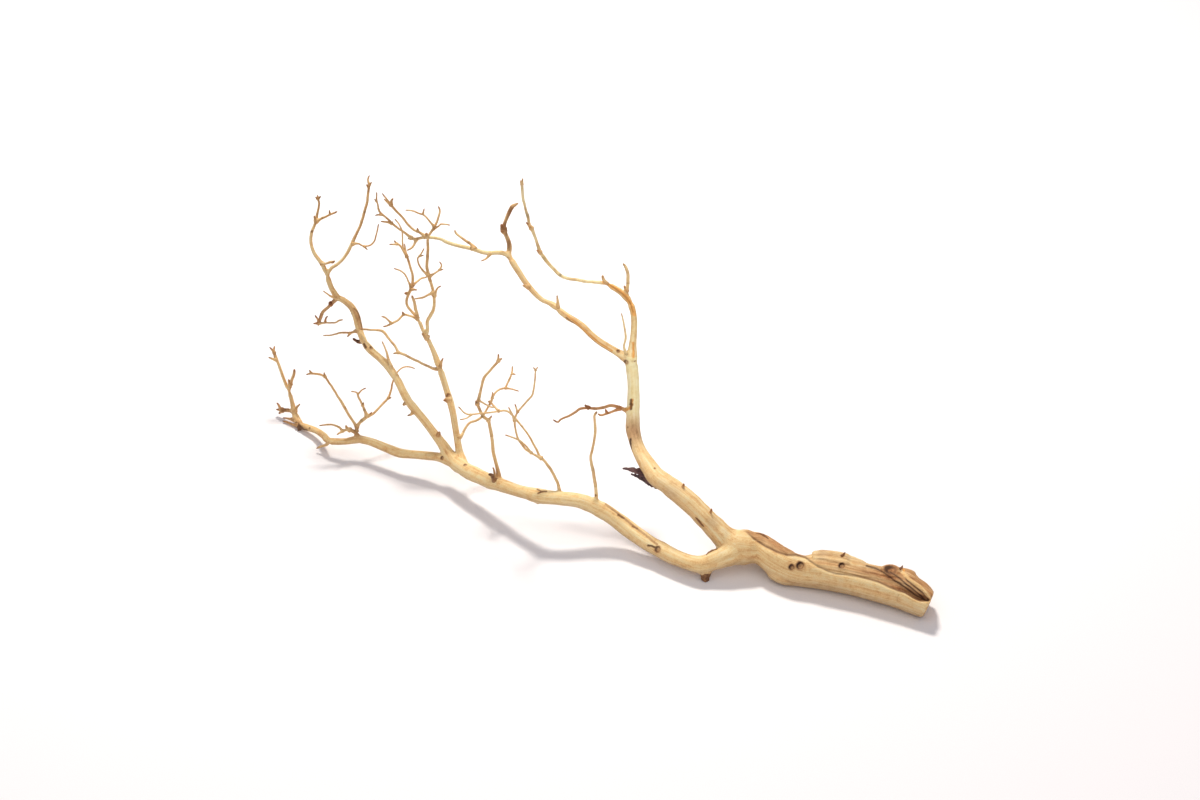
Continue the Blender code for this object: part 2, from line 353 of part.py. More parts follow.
        (620.5, 408, 3), (613.5, 411.2, 2.1), (606.5, 413.8, 2), (601, 415.4, 1.8), (598, 413.8, 1)]),
    ("curl_bud", "dark_curl", 1, [(607, 413.6, 2), (605.3, 409, 1.2)]),
    ("dark_spur", "dark_twig", 2, [(588.5, 407.9, 2.4), (584.7, 404.8, 1.7)]),
    ("pale_shoot", "right_limb", 4, [
        (629, 362, 6), (624.3, 348.5, 2.2), (625.8, 337, 1.9), (624.6, 328, 1.6), (621.6, 313, 0.8)]),
    ("limb_thorn", "right_limb", 5, [(708, 520, 6), (711.8, 508.8, 1.2)]),
    ("limb_thorn", "right_limb", 5, [(681, 494, 6), (684, 483.4, 1.2)]),
    # On the branches above it.
    ("top_tine", "right_top_branch", -4, [
        (629.5, 302, 6), (627, 291.5, 4), (628, 283, 3.3), (627.8, 273.5, 3.1), (625.6, 267, 2.7),
        (622.8, 263.3, 1.6)]),
    ("tine_nub", "top_tine", 2, [(627, 291, 2.6), (624, 285.6, 1.6)]),
    ("top_curl", "right_top_branch", 2, [(607.5, 284.5, 4), (603.8, 280, 3), (602.6, 275.2, 2.2)]),
    ("top_spur", "right_top_branch", 2, [(532, 229, 2.8), (526.2, 222.3, 1.2)]),
    ("top_spur", "right_top_branch", 2, [(540.5, 252.3, 2.6), (536.6, 250.2, 1)]),
    ("top_spur", "right_top_branch", 1, [(522, 184.5, 1.8), (522.8, 178.3, 0.9)]),
    ("crossing_thorn", "crossing_branch", 3, [(558, 309, 5), (557.6, 301, 2.2), (557.2, 295, 0.9)]),
    ("crossing_thorn", "crossing_branch", 3, [(528.7, 286, 4), (522.4, 285.6, 1)]),
    ("stub_knob", "crossing_branch", 2, [(504, 229.5, 4), (501, 224.2, 1.8)]),
    ("stub_knob", "crossing_branch", 3, [(504.5, 231.5, 4), (500.9, 231, 1.8)]),
    ("wand_shoot", "crossing_wand", -5, [
        (474, 249.3, 3.8), (471, 244.3, 2.5), (463.5, 239.2, 2.2), (456.3, 233.6, 2), (454.8, 229.8, 1.1)]),
    ("wand_tassel", "crossing_wand", 5, [(490.5, 253, 2.2), (486.5, 258.3, 1.5), (481, 261.2, 0.8)]),
    ("wand_bud", "crossing_wand", 1, [(427, 237.2, 3), (426.3, 233, 2.2)]),
    ("far_ray", "crossing_wand", 3, [
        (426.5, 237.2, 3), (420.5, 233, 2.2), (414.5, 230.3, 2), (408.5, 225, 2), (401, 216, 2),
        (394, 208.5, 2.2), (390.5, 204.5, 2.4), (386.5, 199.3, 1.4), (382.2, 193.3, 0.8)]),
    ("ray_spur", "far_ray", 1, [(418, 231.7, 1.9), (417.4, 228, 1)]),
    ("ray_spur", "far_ray", 2, [(391, 205, 2.2), (391.6, 200.6, 2), (393.3, 198.3, 1)]),
    ("ray_spur", "far_ray", -4, [(391, 205, 1.9), (388, 203, 1.2), (384, 198.8, 0.8)]),
    ("low_ray", "crossing_wand", 4, [
        (412, 238.6, 2.6), (405, 233, 2), (397.5, 227.8, 1.8), (391.5, 222.8, 2), (384.5, 216.3, 1.7),
        (381, 213.3, 1.7), (378.6, 209.4, 1.7), (377.5, 203.5, 1.2), (374.3, 199.2, 0.8)]),
    ("ray_spur", "low_ray", 1, [(377, 202, 1.1), (376.8, 192, 0.8)]),
    ("ray_spur", "low_ray", 2, [(382.5, 214.5, 1.6), (375, 215.4, 0.8)]),
    ("ray_spur", "low_ray", 3, [(392.5, 223.6, 2), (387, 222.2, 1.7), (380.8, 221.2, 1)]),
    ("wand_leg", "crossing_wand", 6, [
        (416.3, 239, 2.6), (414.6, 243.8, 1.9), (412, 247.6, 1.7), (407, 250.6, 0.9)]),
]

# Stubs that the branch stands on: what they grow on, and the route down to the table.
FEET = [
    ("left_limb", [(706, 564, 12, 18), (705.5, 573, 10, 8.5), (705, 577.3, 9, 3), (705, 579.3, 8, 0.12)]),
    ("low_left_branch", [(302, 425.5, 7, 6), (299.5, 428, 5.5, 3), (299.5, 430, 4.5, 0.25)]),
]

# The dead spur of bark and split wood on the underside of the right limb, in two layers.
BARK_LAYERS = [
    [(667, 486, 15, 80), (655, 482, 13, 78), (643, 474.5, 9, 77), (632, 470.5, 5, 76), (622.5, 469.5, 1.6, 76)],
    [(664, 487, 12, 78), (650, 483.5, 7, 75), (640, 478.5, 4.5, 74), (631, 475, 1.6, 73)],
]

# Trunk section. Angles go round the trunk from straight up towards the viewer, in degrees, and distances
# run along it from the saw cut, in mm. The living side is a smooth roll of sapwood that ends in a lip, and
# behind the lip the dead side lies lower, with a hollow that runs out at the saw cut.
LIP_ANGLE = [(0, 60), (43, 66), (78, 50), (105, 56), (128, 40), (146, 2), (180, 8), (205, -12), (260, -20)]
DEAD_BACK_ANGLE = -105
DEAD_DEPTH = 2.6 * MM
LIP_ROLL = 0.9 * MM
HOLLOW_DEPTH = 8.0 * MM
HOLLOW_LENGTH = 74
HOLLOW_OFFSET = 17
HOLLOW_WIDTH = 13

# The saw cut isn't square to the stem. It reaches out this far at the middle, and this much farther for
# each mm towards the viewer and for each mm up, so its face is seen almost edge-on.
SAW_REACH = 1.8 * MM
SAW_SLANT_FRONT = 0.185
SAW_SLANT_UP = 0.18

# Lumps on the trunk: distance along, angle, height, half length along, half width in degrees.
TRUNK_LUMPS = [
    (20, -40, 1.6 * MM, 14, 30),
    (34, -48, 4.5 * MM, 10, 24),
    (86, -40, 3.0 * MM, 10, 22),
    (112, -42, 4.4 * MM, 22, 26),
    (164, 138, 2.6 * MM, 12, 30),
    (184, 145, -4.2 * MM, 10, 32),
    (30, -145, 5.5 * MM, 18, 26),
    (100, -145, 5.0 * MM, 20, 26),
    (160, -145, 4.5 * MM, 18, 26),
]
KNOT_STUB = [(890, 586, 16, 21), (890.5, 566.3, 15, 43)]


def view_point(across, down, height):
    """The point at this height above the table that lies across and down at this place in the view."""
    ahead = Vector((0, math.cos(VIEW_TILT), -math.sin(VIEW_TILT)))
    above = Vector((0, math.sin(VIEW_TILT), math.cos(VIEW_TILT)))
    eye = Vector((0, 0, VIEW_AIM_HEIGHT)) - VIEW_DISTANCE * ahead
    sight = VIEW_FOCAL * ahead + (across - VIEW_MIDDLE[0]) * Vector((1, 0, 0))
    sight += (VIEW_MIDDLE[1] - down) * above
    return eye + sight * ((height - eye.z) / sight.z) - FOOTPRINT_MIDDLE


def route_of(points):
    """Route points that give their height, as (x, y, z, radius) in metres."""
    return [(*view_point(across, down, height * MM), thick * MM / 2) for across, down, thick, height in points]


def smooth_curve(knots, step=1 * MM):
    """Samples a step apart on the Catmull-Rom curve through knots of (x, y, z, radius)."""
    samples = []
    for i in range(len(knots) - 1):
        before, here = knots[max(i - 1, 0)], knots[i]
        after, beyond = knots[i + 1], knots[min(i + 2, len(knots) - 1)]
        pieces = max(1, round(math.dist(here[:3], after[:3]) / step))
        for k in range(pieces):
            t = k / pieces
            samples.append(tuple(
                0.5 * (2 * b + (c - a) * t + (2 * a - 5 * b + 4 * c - d) * t * t
                       + (3 * b - a - 3 * c + d) * t ** 3)
                for a, b, c, d in zip(before, here, after, beyond)))
    samples.append(tuple(knots[-1]))
    return samples


def between(a, b, t):
    """The tuple that lies the share t of the way from a to b."""
    return tuple(p + (q - p) * t for p, q in zip(a, b))


def straighten(samples, tolerance):
    """Only the samples that a chain of straight tapers needs to stay this near all of them."""
    first, last = samples[0], samples[-1]
    chord = [q - p for p, q in zip(first, last)]
    length_squared = sum(c * c for c in chord)
    worst, at = 0.0, None
    for i in range(1, len(samples) - 1):
        t = sum((s - p) * c for s, p, c in zip(samples[i], first, chord)) / length_squared
        off = math.dist(samples[i], between(first, last, t))
        if off > worst:
            worst, at = off, i
    if worst <= tolerance:
        return [first, last]
    return straighten(samples[:at + 1], tolerance)[:-1] + straighten(samples[at:], tolerance)


def lengths_along(samples):
    """The distance from the start to each sample."""
    runs = [0.0]
    for a, b in zip(samples, samples[1:]):
        runs.append(runs[-1] + math.dist(a[:3], b[:3]))
    return runs


def split_at(samples, distance):
    """The samples before and after this distance along. The two cut faces are parallel, with the gap between them."""
    runs = lengths_along(samples)

    def at(run):
        i = max(1, next(k for k, r in enumerate(runs) if r >= run))
        return between(samples[i - 1], samples[i], (run - runs[i - 1]) / (runs[i] - runs[i - 1]))

    behind, ahead = at(distance - 1 * MM), at(distance + 1 * MM)

    def beside(offset):
        return between(behind, ahead, 0.5 + offset / (2 * MM))

    root = [s for s, run in zip(samples, runs) if run < distance - 3 * MM]
    root += [beside(-1 * MM), beside(-SPLIT_GAP / 2)]
    rest = [beside(SPLIT_GAP / 2), beside(1 * MM)]
    rest += [s for s, run in zip(samples, runs) if run > distance + 3 * MM]
    return root, rest


class Growth:
    """One limb or twig: its samples, the solid that holds it, and the solid that holds it before its cut."""

    def __init__(self, samples, solid, root_solid=None, cut=0.0):
        self.samples = samples
        self.solid = solid
        self.root_solid = root_solid or solid
        self.cut = cut

    def start_for(self, across, down):
        """Where a twig at this place in the view starts, on this one's middle line, and the solid there."""
        best = None
        runs = lengths_along(self.samples)
        for a, b, run in zip(self.samples, self.samples[1:], runs):
            pieces = max(1, round(math.dist(a[:3], b[:3]) / (0.5 * MM)))
            for k in range(pieces):
                s = between(a, b, k / pieces)
                off = (view_point(across, down, s[2]) - Vector(s[:3])).length
                if best is None or off < best[0]:
                    best = (off, s, run + math.dist(a[:3], s[:3]))
        _, start, run = best
        return start, self.root_solid if run < self.cut else self.solid


def twig_route(points, lean, start):
    """A twig's route as (x, y, z, radius): from the start it spreads in the fan's plane, and leans out of it."""
    down = points[0][1]
    runs = [0.0]
    for a, b in zip(points, points[1:]):
        runs.append(runs[-1] + math.dist(a[:2], b[:2]))
    knots = [(*start[:3], points[0][2] * MM / 2)]
    for (x, y, thick), run in zip(points[1:], runs[1:]):
        height = start[2] + FAN_RISE * (down - y) + lean * MM * run / runs[-1]
        knots.append((*view_point(x, y, height), thick * MM / 2))
    return knots


def shade_round(mesh):
    """Round wood is shaded smooth, and its cut ends keep their sharp rims."""
    mesh.shade_smooth()
    mesh.set_sharp_from_angle(angle=SHARP_RIM)


def tube(name, samples, resolution, collection):
    """A tapered tube with flat ends along samples of (x, y, z, radius), as a closed mesh."""
    curve = bpy.data.curves.new(name, "CURVE")
    curve.dimensions = "3D"
    curve.bevel_depth = 1.0
    curve.bevel_resolution = resolution
    curve.use_fill_caps = True
    spline = curve.splines.new("POLY")
    spline.points.add(len(samples) - 1)
    for point, (x, y, z, radius) in zip(spline.points, samples):
        point.co = (x, y, z, 1)
        point.radius = radius
    drawn = bpy.data.objects.new(name + "_route", curve)
    collection.objects.link(drawn)
    bpy.context.view_layer.update()
    graph = bpy.context.evaluated_depsgraph_get()
    mesh = bpy.data.meshes.new_from_object(drawn.evaluated_get(graph))
    bm = bmesh.new()
    bm.from_mesh(mesh)
    bmesh.ops.remove_doubles(bm, verts=bm.verts, dist=0.00001)
    bm.to_mesh(mesh)
    bm.free()
    shade_round(mesh)
    solid = bpy.data.objects.new(name, mesh)
    solid.matrix_world = drawn.matrix_world
    bpy.data.objects.remove(drawn)
    collection.objects.link(solid)
    return solid


def stand_on_table(solid):
    """Wood that would reach below the table is worn flat there."""
    for vertex in solid.data.vertices:
        vertex.co.z = max(vertex.co.z, 0.0)


def fuse(solid, pieces):
    """Joins each piece to the solid with a Boolean union, and leaves the piece as a hidden helper."""
    for piece in pieces:
        joint = solid.modifiers.new("join " + piece.name, "BOOLEAN")
        joint.operation = "UNION"
        joint.solver = "EXACT"
        joint.object = piece
        piece.hide_render = True
        piece.display_type = "WIRE"


def blend(low, high, value):
    """Rises smoothly from 0 at low to 1 at high."""
    t = min(1.0, max(0.0, (value - low) / (high - low)))
    return t * t * (3 - 2 * t)


def look_up(table, value):
    """The second column of the table at this value of the first, on straight lines between its rows."""
    for (a, at_a), (b, at_b) in zip(table, table[1:]):
        if value <= b:
            return at_a + (at_b - at_a) * max(0.0, value - a) / (b - a)
    return table[-1][1]


def trunk_relief(angle, along):
    """How far the trunk's surface stands off its round section, in metres, at an angle and a distance in mm."""
    lip = look_up(LIP_ANGLE, along)
    dead = blend(0, 9, lip - angle) * blend(0, 20, angle - DEAD_BACK_ANGLE)
    relief = -DEAD_DEPTH * dead * (1 - 0.5 * blend(140, 200, along))
    relief += LIP_ROLL * math.exp(-((angle - lip - 10) / 12) ** 2)
    off_hollow = abs(angle - (lip - HOLLOW_OFFSET)) / HOLLOW_WIDTH
    relief -= HOLLOW_DEPTH * math.exp(-off_hollow ** 2) * (1 - blend(20, HOLLOW_LENGTH, along))
    for place, side, height, half_length, half_width in TRUNK_LUMPS:
        off = math.hypot((along - place) / half_length, (angle - side) / half_width)
        relief += height * math.exp(-off ** 4)
    relief += 0.8 * MM * math.sin(math.radians(2 * angle + 40))
    relief += 0.5 * MM * math.sin(math.radians(3 * angle) + along / 23)
    return relief


def trunk_solid(collection):
    """The trunk as a loft of unlike sections from the saw cut to the fork."""
    route = smooth_curve(route_of(TRUNK))
    runs = lengths_along(route)
    count = round(runs[-1] / TRUNK_RING_STEP)
    picks = [min(range(len(runs)), key=lambda i: abs(runs[i] - runs[-1] * n / count)) for n in range(count + 1)]
    bm = bmesh.new()
    rings = []
    for pick in picks:
        x, y, z, radius = route[pick]
        here = Vector((x, y, z))
        ahead = Vector(route[min(pick + 4, len(route) - 1)][:3]) - Vector(route[max(pick - 4, 0)][:3])
        ahead.normalize()
        up = (Vector((0, 0, 1)) - ahead * ahead.z).normalized()
        front = up.cross(ahead)
        ring = []
        for k in range(TRUNK_SIDES):
            angle = -180 + 360 * k / TRUNK_SIDES
            reach = radius + trunk_relief(angle, runs[pick] / MM)
            turn = math.radians(angle)
            rise = math.cos(turn) * reach
            forward = math.sin(turn) * reach
            out = SAW_REACH + SAW_SLANT_FRONT * forward + SAW_SLANT_UP * rise if pick == 0 else 0.0
            ring.append(bm.verts.new(here + up * rise + front * forward - ahead * out))
        rings.append(ring)
    for low, high in zip(rings, rings[1:]):
        for k in range(TRUNK_SIDES):
            n = (k + 1) % TRUNK_SIDES
            bm.faces.new((low[k], low[n], high[n], high[k]))
    bm.faces.new(rings[0])
    bm.faces.new(list(reversed(rings[-1])))
    bmesh.ops.recalc_face_normals(bm, faces=bm.faces)
    mesh = bpy.data.meshes.new("trunk")
    bm.to_mesh(mesh)
    bm.free()
    shade_round(mesh)
    solid = bpy.data.objects.new("trunk", mesh)
    collection.objects.link(solid)
    return solid


def sides_for(samples):
    """Bevel resolution by the thickest sample: 0 makes 4 sides, and each one more makes 2 more."""
    widest = max(s[3] for s in samples)
    return sum(widest > limit * MM for limit in (2.1, 3.4, 5.4, 8.4))


def wood(name, colour):
    """A dry, dull wood finish."""
    material = bpy.data.materials.new(name)
    material.use_nodes = True
    shader = material.node_tree.nodes["Principled BSDF"]
    shader.inputs["Base Color"].default_value = (*colour, 1)
    shader.inputs["Roughness"].default_value = 0.65
    shader.inputs["Metallic"].default_value = 0.0
    return material


def wood_colour(name):
    """Sapwood is pale, the right limb and what it carries is greyer, and its dead twig is brown."""
    if name == "dark_twig":
        return BROWN_WOOD
    if name in ("right_limb", "right_top_branch", "crossing_branch", "crossing_wand"):
        return TAN_WOOD
    return PALE_WOOD


def build():
    """Every solid of the branch, in a collection of its own."""
    for old in list(bpy.data.objects):
        bpy.data.objects.remove(old)
    parts = bpy.data.collections.new("manzanita_driftwood")
    helpers = bpy.data.collections.new("joined_pieces")
    bpy.context.scene.collection.children.link(parts)
    bpy.context.scene.collection.children.link(helpers)

    solids = {"trunk": trunk_solid(parts)}
    joined = {"trunk": []}
    grown = {"trunk": Growth(smooth_curve(route_of(TRUNK)), "trunk")}

    def grow_solid(name, knots, root_solid, cut, tolerance):
        """A limb or long twig: its root is joined to the solid it grows on, and the rest is a new solid."""
        root, rest = split_at(smooth_curve(knots), cut)
        root = straighten(root[:-1], tolerance) + root[-1:]
        rest = rest[:1] + straighten(rest[1:], tolerance)
        resolution = sides_for(root)
        joined[root_solid].append(tube(name + "_root", root, resolution, helpers))
        solids[name] = tube(name, rest, sides_for(rest), parts)
        joined[name] = []
        grown[name] = Growth(root + rest, name, root_solid, cut)

    for name, (carrier, points, cut) in LIMBS.items():
        grow_solid(name, route_of(points), carrier, cut, LIMB_TOLERANCE)
    for name, carrier, lean, points in TWIGS:
        start, solid = grown[carrier].start_for(*points[0][:2])
        knots = twig_route(points, lean, start)
        if name in TWIG_CUTS:
            grow_solid(name, knots, solid, TWIG_CUTS[name], TWIG_TOLERANCE)
        else:
            samples = straighten(smooth_curve(knots), TWIG_TOLERANCE)
            joined[solid].append(tube(name, samples, 0, helpers))
            grown[name] = Growth(samples, solid)
    for solid, points in FEET:
        joined[solid].append(tube(solid + "_foot", route_of(points), 1, helpers))
    joined["trunk"].append(tube("knot_stub", route_of(KNOT_STUB), 2, helpers))
    for points in BARK_LAYERS:
        layer = straighten(smooth_curve(route_of(points)), TWIG_TOLERANCE)
        joined["right_limb"].append(tube("bark_layer", layer, 1, helpers))
    for name, solid in solids.items():
        stand_on_table(solid)
        fuse(solid, joined[name])
        solid.data.materials.clear()
        solid.data.materials.append(wood(name + "_wood", wood_colour(name)))


build()
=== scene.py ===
# %% [markdown]
# # A sand-blasted manzanita branch, grown in code
#
# Manzanita driftwood is a whole dead branch that was dug up, dried and sand-blasted, which strips the
# bark and the soft wood and leaves pale, streaky sapwood with brown heartwood in the old wounds.
# This lesson grows the branch as a plant does: every stem is a line with a thickness, thick stems
# melt into each other at the forks, and fine twigs sprout from them with a small flare.

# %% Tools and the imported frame
import math
from collections import namedtuple

import bpy
import numpy as np
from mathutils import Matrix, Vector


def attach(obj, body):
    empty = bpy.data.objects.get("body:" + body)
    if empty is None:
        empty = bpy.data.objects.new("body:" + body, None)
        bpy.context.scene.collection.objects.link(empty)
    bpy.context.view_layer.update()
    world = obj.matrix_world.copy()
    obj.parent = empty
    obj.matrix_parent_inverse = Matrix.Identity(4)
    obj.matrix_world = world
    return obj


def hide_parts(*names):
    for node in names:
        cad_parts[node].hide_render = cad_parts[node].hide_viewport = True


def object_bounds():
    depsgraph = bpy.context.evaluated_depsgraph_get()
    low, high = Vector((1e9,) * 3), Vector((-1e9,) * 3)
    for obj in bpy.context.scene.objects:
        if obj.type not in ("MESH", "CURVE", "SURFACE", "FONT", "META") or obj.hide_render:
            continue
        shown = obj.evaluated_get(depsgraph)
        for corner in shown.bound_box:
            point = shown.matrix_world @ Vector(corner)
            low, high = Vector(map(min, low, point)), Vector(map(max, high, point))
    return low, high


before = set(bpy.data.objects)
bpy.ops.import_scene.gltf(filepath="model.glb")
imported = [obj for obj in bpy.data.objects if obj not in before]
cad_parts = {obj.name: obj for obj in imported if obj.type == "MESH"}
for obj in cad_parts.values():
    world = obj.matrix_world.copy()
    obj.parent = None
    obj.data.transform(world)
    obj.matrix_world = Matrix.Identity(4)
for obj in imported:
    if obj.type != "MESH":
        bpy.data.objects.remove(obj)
plain_low, plain_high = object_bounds()
MM = 0.001


def placed(name, data):
    """A new object that holds this data, put into the scene."""
    made = bpy.data.objects.new(name, data)
    bpy.context.scene.collection.objects.link(made)
    return made


print("plain model, mm:", [round(1000 * (high - low)) for low, high in zip(plain_low, plain_high)])

# %% [markdown]
# ## The view that the branch is drawn over
#
# Every stem is read off one photograph: how far across and down each point lies, how thick the wood
# is there, and how high above the table. A camera with a known place turns that into real space.

# %% The view's numbers
# Places in the view, its focal length and all widths "in view units" are in pixels of the photograph.
VIEW_SIZE = (1200, 800)
VIEW_MIDDLE = (600.0, 400.0)
VIEW_FOCAL = 2833.0
VIEW_TILT = math.radians(38)
VIEW_DISTANCE = 3.173
VIEW_AIM_HEIGHT = 0.120
# The frame has the middle of the branch's footprint at the origin.
FOOTPRINT_MIDDLE = np.array([-0.0129, -0.0264, 0.0])
# A twig that keeps to the plane of the fan rises this much for each view unit upwards.
FAN_RISE = 1.055 * MM

AHEAD = np.array([0, math.cos(VIEW_TILT), -math.sin(VIEW_TILT)])
ABOVE = np.array([0, math.sin(VIEW_TILT), math.cos(VIEW_TILT)])
TO_VIEWER = -AHEAD
EYE = np.array([0, 0, VIEW_AIM_HEIGHT]) - VIEW_DISTANCE * AHEAD - FOOTPRINT_MIDDLE


def view_points(across, down, height):
    """Points at these heights on the sight lines through (across, down).

    The sight line is EYE + t * d with d = focal * AHEAD + (across - mx) * X + (my - down) * ABOVE,
    and t = (height - EYE.z) / d.z.
    """
    across, down, height = (np.asarray(v, float) for v in (across, down, height))
    sight = VIEW_FOCAL * AHEAD + (VIEW_MIDDLE[1] - down)[..., None] * ABOVE
    sight = sight + (across - VIEW_MIDDLE[0])[..., None] * np.array([1.0, 0, 0])
    return EYE + sight * ((height - EYE[2]) / sight[..., 2])[..., None]


def view_pixels(points):
    """How far across, down and away each point lies in the view: the inverse of view_points."""
    off = points - EYE
    depth = off @ AHEAD
    across = VIEW_MIDDLE[0] + VIEW_FOCAL * off[:, 0] / depth
    down = VIEW_MIDDLE[1] - VIEW_FOCAL * (off @ ABOVE) / depth
    return across, down, depth


# %% [markdown]
# ## The stems
#
# The main limbs give their height above the table at each point, because they arch and dip. A twig
# only needs its start: it spreads in the plane of the fan and leans out of it by a few millimetres.

# %% Routes of the main limbs
# Route points: across, down, thickness in mm, height of the middle of the wood in mm.
TRUNK = [
    (928, 601.5, 37, 18.5), (915, 595.5, 40, 20), (900, 588.5, 43, 21.3), (880, 583.5, 42, 21),
    (860, 579, 40.5, 20.2), (840, 574.5, 40.5, 20.2), (820, 571, 40, 20), (803, 570, 36.5, 19),
    (790, 566.5, 38, 20), (775, 558.5, 39, 22), (760, 548.5, 36, 25), (748, 547, 37.5, 27),
    (736, 545.5, 32, 29),
]
RIGHT_LIMB = [
    (748, 547.5, 31, 27), (736, 545.5, 29, 30), (727, 540, 25, 35), (719, 532, 23, 43),
    (711, 523.5, 22.5, 51), (703, 515.5, 22, 59), (692, 504.5, 22, 68), (680, 494, 22, 76),
    (668, 485, 21, 81), (656, 476, 20.5, 85), (647, 464, 17.5, 89), (640, 452, 15.5, 94),
    (635.5, 440, 15, 100), (633, 428, 16, 108), (633, 415, 15, 121), (633.5, 400, 13.5, 136),
    (633.5, 385, 13, 152), (632.5, 372, 13.5, 166), (631, 361, 14.5, 178),
]
LEFT_LIMB = [
    (748, 547.5, 28, 27), (737, 550, 26, 27), (727, 555, 22.5, 26), (717, 559.5, 20.5, 23),
    (708, 563, 19.5, 19.8), (699, 564.5, 19, 18.2), (688, 562, 17.5, 18), (676, 557.5, 17.5, 18),
    (663, 551, 18, 18.5), (650, 544, 18, 20), (638, 536, 18, 24), (626, 527, 18, 29),
    (614, 518, 18, 36), (602, 510.5, 18, 43), (590, 504.5, 17, 49), (578, 500.5, 16, 54),
    (564, 498.5, 15.5, 57), (550, 497.5, 15.5, 58), (539, 496, 16.5, 57.5), (527, 493, 14, 54.5),
    (514, 489.5, 13.5, 49.5), (502, 485.5, 15, 45), (490, 481.5, 16, 41), (478, 476, 17, 38),
    (467, 470.5, 17.5, 36.5), (456.5, 464, 16.5, 36),
]
LOW_LEFT_BRANCH = [
    (465, 469, 12.5, 36.6), (448, 460, 12, 34.5), (438, 457, 10, 33), (425, 455.5, 9.5, 29),
    (411, 454.3, 9.5, 26.5), (400, 453, 10.5, 26), (389, 449, 10, 26), (378, 444.5, 9.5, 26.5),
    (368, 441, 9, 26.5), (358, 439.5, 9, 25.5), (346, 441.3, 7.5, 23), (335, 441.5, 7.5, 20.5),
    (328, 440.3, 8, 19), (323.5, 435.5, 7.5, 15.5), (316, 430.5, 7, 11), (307, 427.5, 7.5, 7.5),
    (301, 425, 8.2, 6), (297, 419.5, 8, 8), (294.3, 412, 7, 14), (292.5, 404, 5, 22),
    (290.5, 396, 4.5, 30), (287.5, 388, 4, 38), (284, 379.5, 3.6, 47), (281, 371, 3.4, 56),
    (278.3, 363.5, 3.3, 64), (275.8, 357.5, 3.5, 70), (274, 352, 2.3, 76),
]
TALL_LEFT_BRANCH = [
    (461, 467.5, 14, 35), (451, 457, 14, 38), (446, 450, 12.5, 42), (440, 441, 10.5, 50.5),
    (432, 430.5, 9, 61), (424, 420, 9, 71), (416, 410.5, 9, 80.5), (408.5, 401.5, 9.5, 89),
    (403.5, 392.5, 8.8, 96), (399, 383, 8.5, 103), (393.5, 373.5, 9, 110), (387, 365, 9, 116),
    (379, 357.5, 8, 121), (371, 350.5, 8.3, 126), (365, 343, 8, 132), (361, 334.5, 7.5, 139),
    (358.5, 325, 8.5, 147), (356, 315.5, 8.5, 156), (351.5, 307, 7.5, 163.5), (344.5, 301, 6.8, 168),
    (337.5, 296.5, 6.8, 172), (332.5, 290, 6.2, 179), (329.3, 282.5, 5.8, 187), (327.3, 275, 5.8, 195),
]
TALL_LEFT_HOOK = [
    (327.3, 275, 5.4, 195), (323.5, 266.5, 4.8, 203), (319.5, 260.5, 4.2, 209), (315, 254.5, 3.8, 215),
    (312, 247.5, 3.7, 222), (310.8, 240, 3.5, 229), (311.8, 232, 3.5, 237), (314.3, 226, 3.3, 243),
    (316.3, 220.5, 3.3, 248), (317, 214.5, 2.1, 254), (318.5, 208.5, 1.9, 260), (319, 203.5, 1.8, 265),
    (318, 199, 1.7, 269), (317.5, 194.5, 1, 273),
]
TALL_RIGHT_WAND = [
    (327.3, 275, 5, 195), (331, 268.5, 3.7, 202), (337, 264.5, 3.4, 207), (343, 259, 3.4, 213),
    (347.5, 252.5, 3.6, 220), (350.8, 246, 3.7, 227), (354, 239, 3.2, 234), (357.5, 232, 2.7, 241),
    (360.5, 225, 2.6, 248), (363, 217, 2.7, 256), (365.3, 209, 2.6, 264), (367.3, 201, 2.4, 272),
    (368.3, 192.5, 2.3, 280), (369, 184, 2.2, 288), (368, 179.5, 1.5, 292), (369.5, 175, 0.9, 296),
]
INNER_BRANCH = [
    (463, 466.5, 11, 35.5), (460, 455, 9, 43), (458.5, 447, 7.8, 51), (456.7, 436, 7.2, 62),
    (455, 425, 7, 73), (453, 413, 7.3, 85), (450.3, 402, 7.8, 95), (447.3, 392, 7, 104),
    (444.3, 382, 6.8, 114), (441, 372, 7, 124), (437.5, 362, 7, 133), (434, 352.5, 5.5, 142),
    (430, 343.5, 4.8, 151), (426.8, 336.5, 4.8, 158),
]
INNER_RIGHT_WAND = [
    (426.8, 336.5, 4.4, 158), (427.3, 329, 4, 166), (427.5, 321, 3.8, 174), (430.5, 315.5, 3.8, 179),
    (433.5, 309.5, 3.6, 185), (434.3, 302, 3.2, 193), (433.8, 294.5, 3.6, 200), (432.3, 287.5, 3.4, 207),
    (430, 280, 3.3, 215), (428, 273, 3, 222), (426.8, 265.5, 2.8, 230), (427.3, 257.5, 2.8, 238),
    (428, 249, 2.7, 246), (427.8, 241, 2.5, 254), (429.3, 234.5, 2.3, 260), (433.5, 228.3, 2.3, 266),
    (437, 222, 2, 272), (439, 215, 1.8, 279), (440, 210.5, 1.6, 283), (438.3, 206, 1, 287),
]
INNER_LEFT_WAND = [
    (426.8, 336.5, 4.4, 158), (422.8, 329.5, 4, 164), (420.2, 323.5, 4, 170), (417.3, 317, 3.6, 176),
    (413, 312.8, 2.6, 180), (408.3, 307.5, 2.4, 185), (406.5, 302.5, 2.4, 189), (407.8, 296, 2.6, 195),
    (410.5, 290, 3, 201), (412.3, 284, 2.6, 206), (412.8, 277, 2.3, 213), (411, 269.5, 2.2, 221),
    (408.8, 262, 2.2, 228), (406.5, 256, 2.2, 234), (403.5, 251, 1.9, 239), (400.5, 246, 1.8, 244),
    (396.8, 243.5, 1.8, 246.5), (394.3, 240.3, 1.2, 250),
]
